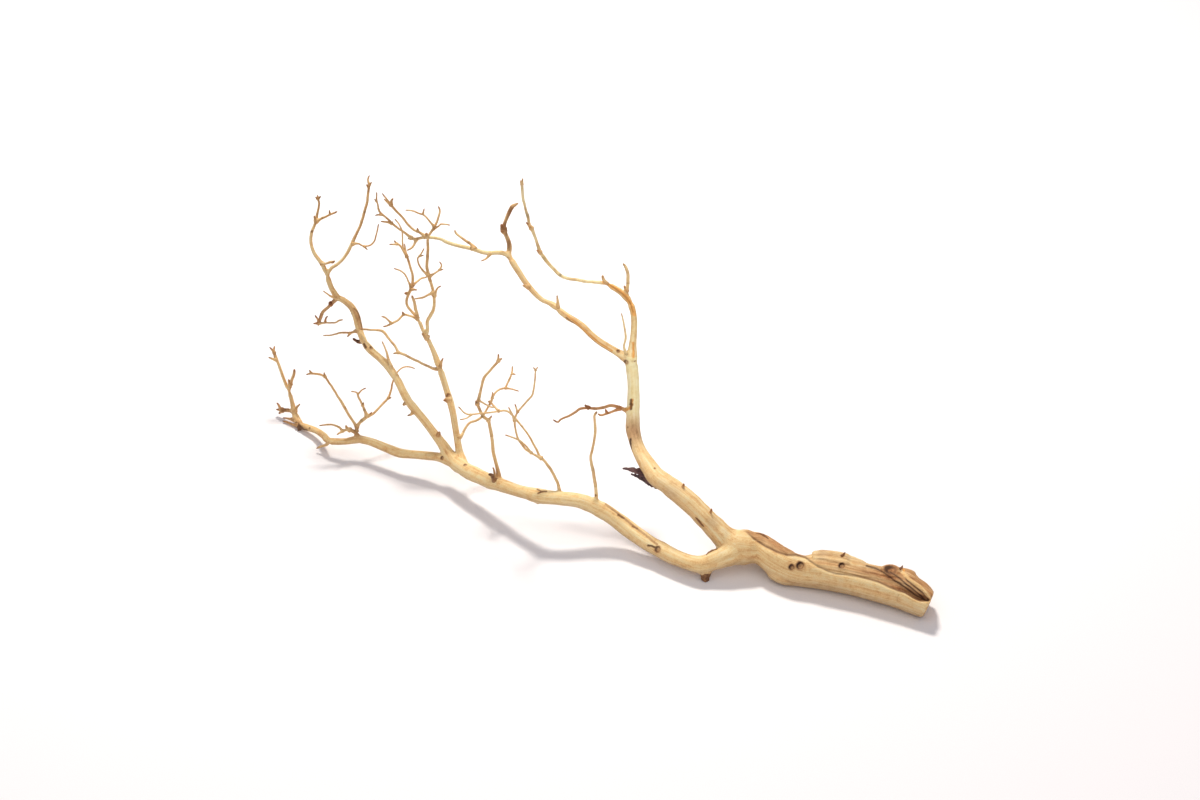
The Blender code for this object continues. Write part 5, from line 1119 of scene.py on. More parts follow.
# Grey patches: across, down, radius in view units, how grey and how brown. Most are weathering; the one at
# (714, 522), at the right limb's base by the fork, is painted shade.
PATCHES = [
    (633, 432, 14, 0.8, 0.5), (714, 522, 7, 0.65, 0.0), (672, 492, 10, 0.65, 0.0), (822, 553, 7, 0.65, 0.0),
]
# Brown spots on skin and twigs: across, down, radius in view units, and how brown.
BROWN_SPOTS = [
    # The spot under the left tip, where it rests on the table, is partly painted shade.
    (284, 409, 8, 0.8), (298, 427, 8, 0.6), (356, 431, 9, 0.65), (341, 408, 4, 0.4), (275, 352, 7, 0.5),
    (314, 372, 8, 0.45), (495, 472, 7, 0.6), (330, 318, 9, 0.45), (348, 307, 6, 0.6), (478, 402, 4, 0.5),
    (505, 228, 9, 0.9), (512, 212, 9, 0.9), (508, 243, 7, 0.7), (603, 245, 8, 0.5), (576, 317, 4, 0.5),
    (628, 291, 4, 0.5), (410, 268, 6, 0.3), (414, 241, 6, 0.3),
]
# Amber streaks: half width in view units, depth mm, and the line.
AMBER = [
    (1.5, 0.5, [(633.2, 343), (633.6, 350), (633.4, 357)]),
    (2.3, 0.3, [(634, 314), (631, 303.5), (626, 296), (619, 290.5), (604, 281.5)]),
    # Painted shade in amber along the crossing branch's lower edge.
    (1.0, 0.2, [(567.5, 315.5), (578, 324.2), (590, 335.5), (600, 343.5), (612, 350.8)]),
    (1.5, 0.2, [(626, 410), (631, 407), (632.5, 400)]),
    (1.3, 0.3, [(902.5, 564.5), (904, 570.5)]),
]

# Marks reach no farther than this from the middle of their line, in view units.
MARK_SPAN = 60
# The rim of a knot's pit gets a painted shadow, darkest on this side in the view.
PIT_PAINTED_SHADOW_SIDE = math.radians(215)
# A view unit is this long on the branch, and a knot is drawn out to this many of its half widths.
UNIT_LENGTH = 1.12 * MM
KNOT_SPAN = 2.6
# A knot is held by the nearest skin that lies within this many view units of its place.
HOLD_WITHIN = 2.5
# How brown a knot is, and how much browner one that is wider than an old knot's half width.
KNOT_BROWN = 0.62
OLD_KNOT_BROWN, OLD_KNOT = 0.3, 5
TONES = ("heart", "dark", "grey", "amber", "saw", "pale")
tone = {name: np.zeros(len(points)) for name in TONES}
push = np.zeros(len(points))


def stain(name, amount, where=slice(None)):
    """Raises a tone of the skin to an amount, at these points."""
    tone[name][where] = np.maximum(tone[name][where], amount)


def along_line(line, half, fade, ragged, ragged_size, seed):
    """The skin points round a line of the view, and how strongly each is marked, with a ragged edge."""
    middle = np.mean(line, 0)
    close = np.flatnonzero((np.abs(across - middle[0]) < MARK_SPAN) & (np.abs(down - middle[1]) < MARK_SPAN))
    reach = line_distance(across[close], down[close], line)[0] / half
    reach = reach + ragged * lattice_noise(points[close] / ragged_size, seed=seed)
    return close, smooth_step(*fade, reach) * in_front[close]


def spot_brown(across, down):
    """How brown the spots make each place of the view."""
    brown = np.zeros(len(across))
    for place_across, place_down, half, amount in BROWN_SPOTS:
        brown = np.maximum(brown, amount * bell(np.hypot(across - place_across, down - place_down) / half))
    return brown


anchors = 0
loose_knots = []
for place_across, place_down, half, pit, rim, shade in KNOTS:
    off = np.hypot(across - place_across, down - place_down)
    near = np.flatnonzero((off < HOLD_WITHIN) & (facing > 0.1))
    if len(near) == 0:
        loose_knots.append((place_across, place_down, half, shade))
        continue
    anchors += 1
    anchor = near[np.argmin(depth[near] + off[near] * MM)]
    size = half * UNIT_LENGTH
    close = np.flatnonzero(np.abs(points - points[anchor]).max(1) < KNOT_SPAN * size)
    reach = np.linalg.norm(points[close] - points[anchor], axis=1) / size
    reach = reach + 0.14 * lattice_noise(points[close] / (0.7 * size), seed=anchors)
    # Painted shadow in the pit: its ring is darker on one side in the view.
    turn = np.arctan2(down[close] - down[anchor], across[close] - across[anchor])
    pit_painted_shadow = 0.5 + 0.5 * np.cos(turn - PIT_PAINTED_SHADOW_SIDE)
    push[close] -= pit * MM * smooth_step(1.0, 0.35, reach)
    push[close] += rim * MM * bell((reach - 1.15) / 0.3)
    ring = (0.5 + 0.8 * pit_painted_shadow) * bell((reach - 0.74) / (0.2 + 0.14 * pit_painted_shadow))
    ring += 0.35 * smooth_step(0.5, 0.1, reach)
    stain("dark", shade * np.clip(ring, 0, 1), close)
    stain("heart", (KNOT_BROWN + OLD_KNOT_BROWN * (half > OLD_KNOT)) * smooth_step(1.6, 0.9, reach), close)
for half, cut_depth, brown, shade, line in SCARS:
    close, weight = along_line(line, half, (1.25, 0.55), 0.25, 1.6 * MM, seed=5)
    push[close] -= cut_depth * MM * weight
    stain("heart", brown * weight, close)
    stain("dark", shade * weight, close)
for half, cut_depth, line in AMBER:
    close, weight = along_line(line, half, (1.3, 0.4), 0.3, 2 * MM, seed=6)
    push[close] -= cut_depth * MM * weight
    stain("amber", weight, close)
for place_across, place_down, half, grey_most, brown_most in PATCHES:
    spread = bell(np.hypot(across - place_across, down - place_down) / half)
    stain("grey", grey_most * spread)
    stain("heart", brown_most * spread * in_front)

# Painted shade: the wood is made greyer and darker wherever it faces down, towards the table.
painted_underside_shade = smooth_step(0.3, -0.45, normals[:, 2])
stain("grey", 0.6 * painted_underside_shade)
stain("dark", 0.2 * painted_underside_shade)

# Brown spots show on thin wood only, and are darkest in their middle.
thickness = np.array([stem.samples[:stem.core_end, 3].mean() for stem in core_stems])[owner]
spots = spot_brown(across, down) * smooth_step(6 * MM, 3.5 * MM, thickness)
stain("heart", spots)
stain("dark", 1.3 * np.clip(spots - 0.5, 0, 1))
print("knots anchored:", anchors, "of", len(KNOTS))

# %% [markdown]
# The dead side of the trunk is brown heartwood, darkest down in the split and greyer on the old ledge.
# It is also coarser: sand takes the soft layers out of dead wood and leaves fibres standing.

# %% Heartwood of the trunk's dead side
# How brown the dead side is at these places across the view: least on the old ledge.
BROWN_ACROSS = [745, 760, 800, 812, 850, 866, 885, 935]
BROWN_AMOUNT = [0.72, 0.68, 0.55, 0.2, 0.24, 0.5, 0.66, 0.72]
SMOOTH_GRAIN = 0.10 * MM
DEAD_GRAIN = 0.5 * MM

trunk = stems[0]
trunk_skin = np.flatnonzero(owner == 0)
trunk_at = sample[trunk_skin]
trunk_across, trunk_down = across[trunk_skin], down[trunk_skin]
off = points[trunk_skin] - trunk.samples[trunk_at, :3]
degrees = np.degrees(np.arctan2(row_dot(off, trunk.other[trunk_at]), row_dot(off, trunk.side[trunk_at])))
lip_degrees = np.interp(run_along[trunk_skin] / MM, *np.array(LIP_ANGLE).T)
behind = smooth_step(-2, 7, lip_degrees - degrees) * smooth_step(-4, 12, degrees - DEAD_BACK_ANGLE)
near_limb = gap[trunk_skin] / MM + 3 * lattice_noise(points[trunk_skin] / (5 * MM), seed=24)
behind *= smooth_step(1, 10, near_limb)
below_lip = (trunk_down - np.interp(trunk_across, *np.array(LIP).T)) * LIP_NEARNESS
past_lip = smooth_step(0.6, -0.6, below_lip) * smooth_step(738, 750, trunk_across)
seen = smooth_step(-0.1, 0.3, facing[trunk_skin])
dead = seen * past_lip + (1 - seen) * behind

floor_gap, floor_run = line_distance(trunk_across, trunk_down, SPLIT_FLOOR)
deep = bell(floor_gap / 4.5) * smooth_step(0.05, 0.5, floor_run) * seen * past_lip
lip_shade = bell((below_lip + 1.3) / 1.3) * seen * smooth_step(742, 756, trunk_across)
groove = np.zeros(len(trunk_skin))
for line in SPLIT_GROOVES:
    groove = np.maximum(groove, bell(line_distance(trunk_across, trunk_down, line)[0] / 1.0))
ridge = np.exp(-(line_distance(trunk_across, trunk_down, SPLIT_RIDGE)[0] / 1.7) ** 4) * seen * dead
streak = grain_noise(grain[trunk_skin], 2.6, 45, seed=21)
fibre = grain_noise(grain[trunk_skin], 1.3, 14, seed=23)

brownness = np.interp(trunk_across, BROWN_ACROSS, BROWN_AMOUNT)
stain("amber", 0.3 * ridge, trunk_skin)
stain("heart", dead * np.clip(brownness + 0.28 * streak + 0.2 * deep - 0.9 * ridge, 0.0, 1), trunk_skin)
stain("dark", dead * np.clip(0.85 * groove * seen + 0.62 * lip_shade - 1.2 * ridge
                             + 0.32 * np.clip(fibre, 0, 1), 0, 0.9), trunk_skin)
grain_depth = np.full(len(points), SMOOTH_GRAIN)
grain_depth[trunk_skin] += DEAD_GRAIN * dead
print("share of the trunk that is dead wood:", round(float(dead.mean()), 2))

# %% [markdown]
# The limbs are not all of one colour: the right limb and what it carries bleached to a pale cream, which on
# the upper right limb is partly painted light, and the dead twigs, stubs and feet stayed brown.

# %% Tones of whole stems, and the fine relief of the grain
PALER_AND_PAINTED_LIGHT = {"right_limb": 0.9, "right_top_branch": 0.5, "crossing_branch": 0.1, "crossing_wand": 0.4,
         "pale_shoot": 0.5, "top_tine": 0.5, "left_limb": 0.1, "tall_left_branch": 0.05}
GREYER = {"right_limb": 0.12, "right_top_branch": 0.0, "crossing_branch": 0.12, "crossing_wand": 0.1,
          "knot_stub": 0.1, "top_tine": 0.2, "pale_shoot": 0.1}
BROWNER = {"dark_twig": 0.7, "dark_curl": 0.75, "curl_bud": 0.9, "dark_spur": 0.85, "droop_arm": 0.55,
           "droop_spur": 0.6, "black_stub": 1.0, "claw": 0.5, "claw_finger": 0.5, "elbow_stub": 0.45,
           "spray_foot_stub": 0.7, "left_limb_foot": 0.85, "knot_stub": 0.75, "lone_thread": 0.45,
           "limb_thorn": 0.5, "stub_knob": 0.35, "spray_foot_spike": 0.3, "right_top_branch": 0.12}
DARKER = {"left_limb_foot": 0.85, "dark_twig": 0.12, "low_left_branch_foot": 0.5, "spray_foot_stub": 0.6,
          "black_stub": 0.6, "dark_spur": 0.3, "elbow_stub": 0.3, "stub_knob": 0.1}
# The right limb gets its pale tone, partly painted light, from here upwards in the view.
PALE_AND_PAINTED_LIGHT_FADE = (455, 400)
# The wood stays in the plain model's box, and above the table.
HIGHEST = np.array(plain_high)
LOWEST = np.array(plain_low)
LOWEST[2] = max(LOWEST[2], 0.0)


def of_owner(table):
    """Each skin point's value from a table by stem name, and 0 where the table has none."""
    return np.array([table.get(stem.name, 0.0) for stem in core_stems])[owner]


stain("dark", of_owner(DARKER) * (0.75 + 0.25 * lattice_noise(points / (1.5 * MM), seed=15)))
stain("grey", of_owner(GREYER) * 0.8)
stain("heart", of_owner(BROWNER))
right_limb = of_owner({"right_limb": 1}) > 0
# The pale tone is bleached wood with painted light on top of it, most of all on the upper right limb.
tone["pale"] = of_owner(PALER_AND_PAINTED_LIGHT) * np.where(right_limb, smooth_step(*PALE_AND_PAINTED_LIGHT_FADE, down), 1)

furrows = grain_noise(grain, 1.5, 26, seed=3)
furrows += 0.5 * grain_noise(grain, 3.4, 60, seed=4)
push += furrows * grain_depth * np.clip(thickness / (8 * MM), 0.45, 1) * (0.2 + 0.8 * calm)

# The face of the saw cut is flat and pale, and shows its rings.
tone["saw"] = smooth_step(0.9 * MM, 0.3 * MM, (points - cut_middle) @ cut_inwards) * (owner == 0)
push *= 1 - tone["saw"]
for name in ("heart", "dark"):
    tone[name] = tone[name] * (1 - 0.75 * tone["saw"])
points = np.clip(points + normals * push[:, None], LOWEST, HIGHEST)
normals = point_normals(points, quads)
print("grain relief, mm:", round(float(push.min()) / MM, 2), "to", round(float(push.max()) / MM, 2))

# %% [markdown]
# ## Fine twigs
#
# Where a stem gets thinner than about 3 mm the skin ends, and the stem goes on as a slender tube of its
# own, which starts inside the skin. A twig that grows straight from a limb flares where it starts.

# %% Parts of each node: the skin's share and the twig tubes
WOOD_SLOT, BARK_SLOT = 0, 1
Share = namedtuple("Share", "points faces grain tones slot normals", defaults=(WOOD_SLOT, None))
parts = {node: [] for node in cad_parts}
skin_node = np.array([[stem.node, stem.root_node] for stem in core_stems])
skin_cut = np.array([stem.cut for stem in core_stems])
face_owner = owner[quads[:, 0]]
face_run = run_along[quads].mean(1)
in_root = face_run < skin_cut[face_owner]
face_node = np.where(in_root, skin_node[face_owner, 1], skin_node[face_owner, 0])


# Against white paper a fine twig looks slimmer than it is, which the gain makes up for. No twig gets
# finer than the finest radius before its tip, and each wanders off its route by about the kink.
TWIG_SIDES = 10
TWIG_GAIN = 0.36 * MM
FINEST = 0.66 * MM
KINK = 0.28 * MM
TIP_LENGTH = 1.6 * MM
# How brown a twig is where no table says more, and how far its brown tip reaches.
TWIG_BROWN = 0.2
BROWN_TIP = 5 * MM


def run_noise(run, size, second, third, seed):
    """Smooth noise along a stem. The other two coordinates tell one curve from another."""
    ones = np.ones(len(run))
    return lattice_noise(np.column_stack([run / size, second * ones, third * ones]), seed=seed)


def twig_tube(stem, pick):
    """The thin tube of a twig at the picked samples, with swellings, a root flare and a tapered tip."""
    radius = stem.samples[pick, 3]
    run = stem.along[pick]
    swell = run_noise(run, 5 * MM, 3.3, 1.7, seed=len(stem.name))
    node_bump = np.clip(1.7 * swell - 0.5, 0, 1) ** 2
    reach = (radius * (1 + 0.05 * swell + 0.3 * node_bump) + TWIG_GAIN)[:, None] * np.ones(TWIG_SIDES)
    if stem.core_end == 0 and stem.carrier is not None:
        reach *= (1 + 0.8 * np.exp(-stem.beyond_carrier(pick) / (0.8 * MM + radius)))[:, None]
    reach = np.maximum(reach, FINEST)
    left = stem.along[-1] - run
    reach *= np.clip(0.45 + 0.55 * np.sqrt(np.clip(left / TIP_LENGTH, 0, 1)), 0, 1)[:, None]
    place = straightened(angles_round(TWIG_SIDES), reach, run)
    bumps = lattice_noise(place / (2.4 * MM), seed=9 + len(stem.name)).reshape(reach.shape)
    tube_points, tube_quads, fans, tube_grain = tube(stem, pick, TWIG_SIDES, reach * (1 + 0.05 * bumps))
    bend = [run_noise(run, 4.5 * MM, axis + 0.4, 2.2, seed=50 + len(stem.name)) for axis in range(3)]
    bend = np.column_stack(bend) * KINK * smooth_step(0, 4 * MM, run - run[0] * (stem.core_end > 0))[:, None]
    tube_points = tube_points + np.vstack([np.repeat(bend, TWIG_SIDES, 0), bend[[0, -1]]])
    tones = twig_tones(stem, run, node_bump, tube_points, tube_grain)
    return Share(tube_points, tube_quads.tolist() + fans.tolist(), tube_grain, tones)


def twig_tones(stem, run, node_bump, tube_points, tube_grain):
    """The tones of a twig: browner at its tip and in streaks, and darker on its swellings and in knots."""
    ring_run = np.concatenate([np.repeat(run, TWIG_SIDES), run[[0, -1]]])
    tip = smooth_step(BROWN_TIP, 0.5 * MM, stem.along[-1] - ring_run)
    streak = np.clip(lattice_noise(tube_grain / (6 * MM), seed=31), 0, 1)
    brown = np.full(len(tube_points), BROWNER.get(stem.name, TWIG_BROWN))
    brown = np.clip(brown + 0.5 * tip + 0.45 * streak, 0, 1)
    shade = 0.6 * np.interp(ring_run, run, node_bump) + 0.25 * tip + DARKER.get(stem.name, 0.0)
    across, down, _ = view_pixels(tube_points)
    spots = spot_brown(across, down)
    brown = np.maximum(brown, spots)
    shade = np.maximum(shade, 1.3 * np.clip(spots - 0.5, 0, 1))
    for place_across, place_down, half, darkness in loose_knots:
        off = np.hypot(across - place_across, down - place_down) / max(half, 1.4)
        shade = np.maximum(shade, darkness * bell(off))
    tones = {"heart": brown, "dark": np.clip(shade, 0, 1), "grey": GREYER.get(stem.name, 0.0),
             "pale": PALER_AND_PAINTED_LIGHT.get(stem.name, 0.0)}
    return np.column_stack([np.broadcast_to(tones.get(name, 0.0), len(brown)) for name in TONES])


tubes = 0
for stem in stems:
    count = len(stem.samples)
    if stem.core_end >= count:
        continue
    first = max(0, stem.core_end - 5)
    pick = np.unique(np.append(np.arange(first, count, 2), count - 1))
    cut_at = int(np.searchsorted(stem.along[pick], stem.cut)) if stem.root_node != stem.node else 0
    if 1 < cut_at < len(pick) - 2:
        parts[stem.root_node].append(twig_tube(stem, pick[:cut_at + 1]))
        parts[stem.node].append(twig_tube(stem, pick[cut_at:]))
        tubes += 1
    else:
        parts[stem.node].append(twig_tube(stem, pick))
    tubes += 1
print("twig tubes:", tubes)

# %% [markdown]
# ## The dead spur under the right limb
#
# Two flakes of bark and split wood still hang on under the right limb. They are blades, not rods: wide
# and thin, with ragged edges, so their section is a flat oval whose edge is roughened by noise.

# %% Bark blades and slivers
# Loose slivers: the node that holds each, and rows of across, down and thickness in mm.
SLIVERS = [
    ("right_limb", [(695.5, 517.5, 1.2), (698.5, 521, 3.2), (702, 525, 2.6), (704, 527, 1)]),
    ("left_limb", [(717.5, 548.5, 1.2), (713, 550.3, 3.4), (709, 552.3, 3.2), (706, 554.5, 1.2)]),
    ("trunk", [(841.5, 556.5, 4.0), (844, 554.5, 3.4), (845.4, 552.2, 1.0)]),
    ("trunk", [(899.8, 568.5, 3.6), (901.8, 566.8, 3.0), (902.8, 564.4, 0.9)]),
    ("trunk", [(756, 533.4, 1.0), (760, 534.2, 2.8), (764, 535.8, 3.0), (768.5, 539, 1.0)]),
]


def lying_on_skin(rows, rise):
    """Rows of (across, down, thickness) with a height each, on the skin.

    All rows move alike, so that the second lies on skin that faces the viewer, and each gets the height of
    the seen skin nearest to it, and a little more. So no sliver hangs beside its limb.
    """
    seen_skin = np.flatnonzero(in_front > 0.5)
    seen_across, seen_down = across[seen_skin], down[seen_skin]
    held = np.hypot(seen_across - rows[1][0], seen_down - rows[1][1]).argmin()
    move_across, move_down = seen_across[held] - rows[1][0], seen_down[held] - rows[1][1]
    table = []
    for place_across, place_down, thick in rows:
        place_across, place_down = place_across + move_across, place_down + move_down
        near = seen_skin[np.hypot(seen_across - place_across, seen_down - place_down).argmin()]
        table.append((place_across, place_down, thick, points[near, 2] / MM + rise))
    return table


BLADE_SIDES = 28


def blade(knots, thin, tilt, seed, slot=BARK_SLOT, brown=0.8, shade=0.5):
    """A flat oval carried along a route: radius (cos a, thin * sin a), turned by tilt, with a ragged edge."""
    stem = Stem("blade", route_of(knots), "right_limb")
    pick = np.arange(len(stem.samples))
    angle = angles_round(BLADE_SIDES)
    oval = 1 / np.sqrt(np.cos(angle - tilt) ** 2 + (np.sin(angle - tilt) / thin) ** 2)
    reach = stem.samples[:, 3:4] * oval[None, :]
    place = straightened(angle, reach, stem.along)
    ragged = lattice_noise(place / (2.2 * MM), seed=seed).reshape(reach.shape)
    edge = np.abs(np.cos(angle - tilt))[None, :] ** 3
    reach = reach * (1 + 0.28 * ragged * edge + 0.08 * ragged)
    tube_points, tube_quads, fans, tube_grain = tube(stem, pick, BLADE_SIDES, reach)
    tube_points[:, 2] = np.maximum(tube_points[:, 2], 0)
    tones = np.tile([brown, shade, 0.0, 0.0, 0.0, 0.0], (len(tube_points), 1))
    return Share(tube_points, tube_quads.tolist() + fans.tolist(), tube_grain, tones, slot)


for number, layer in enumerate(BARK_LAYERS):
    wider = [(place_across, place_down - 1, thick * 1.12, height)
             for place_across, place_down, thick, height in layer]
    tilt = math.radians(60 + 50 * number)
    parts["right_limb"].append(blade(wider, 0.42, tilt, 40 + number, shade=0.1 + 0.6 * number))
for number, (node, line) in enumerate(SLIVERS):
    tilt = 0.6 + 0.3 * number
    parts[node].append(blade(lying_on_skin(line, 0.1), 0.55, tilt, 44 + number, WOOD_SLOT, brown=0.9))
print("blades and slivers:", len(BARK_LAYERS) + len(SLIVERS))

# %% [markdown]
# ## Materials
#
# Wood reflects light dully and its colour lies in layers. Both materials read the grain coordinates,
# with scales given in millimetres, so that streaks have their real width whatever the stem's size.

# %% Colour helpers
def linear(code):
    """An sRGB hex colour as linear red, green, blue and alpha."""
    channels = [int(code[i:i + 2], 16) / 255 for i in (1, 3, 5)]
    return (*[c / 12.92 if c <= 0.04045 else ((c + 0.055) / 1.055) ** 2.4 for c in channels], 1.0)


def add(tree, kind, inputs=None, **settings):
    """A new node with its settings made and its inputs set or linked."""
    made = tree.nodes.new("ShaderNode" + kind)
    for name, value in settings.items():
        setattr(made, name, value)
    for name, value in (inputs or {}).items():
        if isinstance(value, bpy.types.NodeSocket):
            tree.links.new(value, made.inputs[name])
        else:
            made.inputs[name].default_value = value
    return made


def new_material(name, roughness):
    """A material with its node tree and its shader."""
    material = bpy.data.materials.new(name)
    material.use_nodes = True
    shader = material.node_tree.nodes["Principled BSDF"]
    shader.inputs["Roughness"].default_value = roughness
    return material, material.node_tree, shader


def attribute(tree, name, output="Fac"):
    """A value that the mesh carries at its points."""
    return add(tree, "Attribute", attribute_name=name).outputs[output]


def ramp(tree, factor, stops):
    """A colour ramp through (place, hex) stops."""
    made = add(tree, "ValToRGB", {"Fac": factor})
    elements = made.color_ramp.elements
    while len(elements) < len(stops):
        elements.new(0.5)
    for element, (place, code) in zip(elements, stops):
        element.position = place
        element.color = linear(code)
    return made.outputs["Color"]


def mix_colours(tree, factor, low, high):
    """From the low colour at a factor of 0 to the high one at 1."""
    made = add(tree, "Mix", data_type="RGBA")
    for index, value in ((0, factor), (6, low), (7, high)):
        if isinstance(value, bpy.types.NodeSocket):
            tree.links.new(value, made.inputs[index])
        else:
            made.inputs[index].default_value = value
    return made.outputs[2]


def streaks(tree, grain_socket, width, length, detail=2.0):
    """Noise that is width mm across the grain and length mm along it, from 0 to 1."""
    scale = (1 / (width * MM), 1 / (width * MM), 1 / (length * MM))
    scaled = add(tree, "VectorMath", {0: grain_socket, 1: scale}, operation="MULTIPLY")
    return noise(tree, scaled.outputs[0], 1.0, detail, 0.55)


def noise(tree, place, scale, detail, roughness):
    """Smooth noise from 0 to 1 at a place, with scale waves to a metre of it."""
    inputs = {"Vector": place, "Scale": scale, "Detail": detail, "Roughness": roughness}
    return add(tree, "TexNoise", inputs).outputs["Fac"]


def combine(tree, first, second, weight):
    """first + second * weight."""
    return add(tree, "Math", {0: second, 1: weight, 2: first}, operation="MULTIPLY_ADD").outputs[0]


# %% Sand-blasted sapwood over heartwood
RING_WIDTH = 1.1 * MM


def end_grain_colour(tree, grain_socket):
    """Rings of the saw cut: the distance from the pith, bent a little, drives thin darker rings."""
    flat = add(tree, "VectorMath", {0: grain_socket, 1: (1.0, 1.0, 0.0)}, operation="MULTIPLY").outputs[0]
    radius = add(tree, "VectorMath", {0: flat}, operation="LENGTH").outputs["Value"]
    bent = combine(tree, radius, streaks(tree, grain_socket, 9.0, 9.0, 2), 4 * MM)
    wave = add(tree, "Math", {0: bent, 1: RING_WIDTH}, operation="PINGPONG").outputs[0]
    rings = add(tree, "MapRange", {"Value": wave, "From Max": RING_WIDTH}).outputs["Result"]
    return ramp(tree, rings, [(0.0, "#A9743F"), (0.35, "#CFA066"), (1.0, "#E2BE86")])


def manzanita_wood(name):
    """Pale streaky sapwood, that turns by attributes to brown heartwood, grey weathering and dark knots, and
    to painted shade and painted light.
    """
    material, tree, shader = new_material(name, 0.66)
    grain_socket = attribute(tree, "grain", "Vector")
    broad = streaks(tree, grain_socket, 7.0, 130, 2)
    middle = streaks(tree, grain_socket, 2.2, 60, 3)
    fine = streaks(tree, grain_socket, 0.7, 22, 3)
    place = add(tree, "TexCoord").outputs["Object"]
    blotch = noise(tree, place, 130.0, 3.0, 0.6)
    grit = noise(tree, place, 900.0, 3.0, 0.65)
    mixed = -1.2
    for pattern, weight in ((broad, 0.8), (middle, 0.8), (fine, 0.45), (blotch, 0.9), (grit, 0.6)):
        mixed = combine(tree, mixed, pattern, weight)
    sap = ramp(tree, mixed, [(0.0, "#B67E4E"), (0.22, "#D29E66"), (0.42, "#E7BC80"), (0.62, "#F1D298"),
                             (0.85, "#F7E5B4"), (1.0, "#FAEECB")])
    # Cream for the pale tone: bleached wood with painted light.
    cream_and_painted_light = ramp(tree, mixed, [(0.1, "#E0BE80"), (0.4, "#F4E2A4"), (0.7, "#FCF2C0"), (1.0, "#FFF8D8")])
    brown = ramp(tree, mixed, [(0.0, "#59301A"), (0.3, "#8A5230"), (0.55, "#AD7142"), (0.8, "#C98C56"),
                               (1.0, "#E0AE76")])
    grey = ramp(tree, mixed, [(0.0, "#9A7B5A"), (0.4, "#BE9C74"), (0.7, "#D4B48A"), (1.0, "#E2C89E")])
    amber = ramp(tree, fine, [(0.35, "#CC8238"), (0.62, "#F0B464")])
    orange = ramp(tree, fine, [(0.35, "#C98B50"), (0.65, "#DDAA6A")])
    warm = add(tree, "MapRange", {"Value": blotch, "From Min": 0.48, "From Max": 0.72, "To Max": 0.36})
    colour = mix_colours(tree, warm.outputs["Result"], sap, orange)
    end_grain = end_grain_colour(tree, grain_socket)
    for tone_name, over in (("pale", cream_and_painted_light), ("grey", grey), ("heart", brown), ("amber", amber),
                            ("saw", end_grain), ("dark", linear("#42281A"))):
        colour = mix_colours(tree, attribute(tree, tone_name), colour, over)
    tree.links.new(colour, shader.inputs["Base Color"])
    shader.inputs["Specular IOR Level"].default_value = 0.32
    height = combine(tree, add(tree, "Math", {0: fine, 1: 0.9}, operation="MULTIPLY").outputs[0], grit, 0.5)
    bump = add(tree, "Bump", {"Height": height, "Strength": 0.7, "Distance": 0.45 * MM})
    tree.links.new(bump.outputs["Normal"], shader.inputs["Normal"])
    return material


def bark_flake(name):
    """Dead bark: purple-brown above, dark grey below, cracked and flaky."""
    material, tree, shader = new_material(name, 0.8)
    patches = streaks(tree, attribute(tree, "grain", "Vector"), 2.0, 9, 4)
    colour = ramp(tree, patches, [(0.25, "#3A3034"), (0.5, "#6A4A4A"), (0.7, "#84604F"), (0.9, "#A07C60")])
    colour = mix_colours(tree, attribute(tree, "dark"), colour, linear("#2A2226"))
    tree.links.new(colour, shader.inputs["Base Color"])
    bump = add(tree, "Bump", {"Height": patches, "Strength": 0.9, "Distance": 0.8 * MM})
    tree.links.new(bump.outputs["Normal"], shader.inputs["Normal"])
    return material


wood = manzanita_wood("sand-blasted manzanita sapwood")
bark = bark_flake("dead manzanita bark")


# %% [markdown]
# ## One piece for each node
#
# The skin is parted where the plain model is. Each share is closed with a hidden cap, and keeps the
# whole skin's normals, so no seam shows on the outside.

# %% Building the pieces
def rim_loops(faces):
    """The open rims of a share as simple loops, each running so that a fan on it faces outwards."""
    size = faces.max() + 1
    start, stop = faces.ravel(), np.roll(faces, -1, 1).ravel()
    rim = ~np.isin(start * size + stop, stop * size + start)
    onward = {}
    for a, b in sorted(zip(stop[rim].tolist(), start[rim].tolist())):
        onward.setdefault(a, []).append(b)
    loops = []
    for first in list(onward):
        path = [first]
        while onward.get(path[-1]):
            point = onward[path[-1]].pop()
            if point in path:
                at = path.index(point)
                loops.append(path[at:])
                path = path[:at]
            path.append(point)
    return loops


def open_edge_count(faces):
    """How many edges of the faces have no partner that runs the other way."""
    directed = {(face[k - 1], face[k]) for face in faces for k in range(len(face))}
    return sum((b, a) not in directed for a, b in directed)


def skin_share(node):
    """The skin's faces that belong to a node, closed with caps, and the normals of the whole skin."""
    mine = quads[face_node == node]
    used, compact = np.unique(mine, return_inverse=True)
    compact = compact.reshape(-1, 4)
    loops = rim_loops(compact)
    caps = []
    for number, loop in enumerate(loops):
        middle = len(used) + number
        caps += [[a, b, middle] for a, b in zip(loop, loop[1:] + loop[:1])]
    share_points, share_grain, tones = [
        np.vstack([table[used]] + [table[used[loop]].mean(0, keepdims=True) for loop in loops])
        for table in (points, grain, np.column_stack([tone[name] for name in TONES]))]
    kept = np.vstack([normals[used], np.zeros((len(loops), 3))])
    return Share(share_points, compact.tolist() + caps, share_grain, tones, WOOD_SLOT, kept)


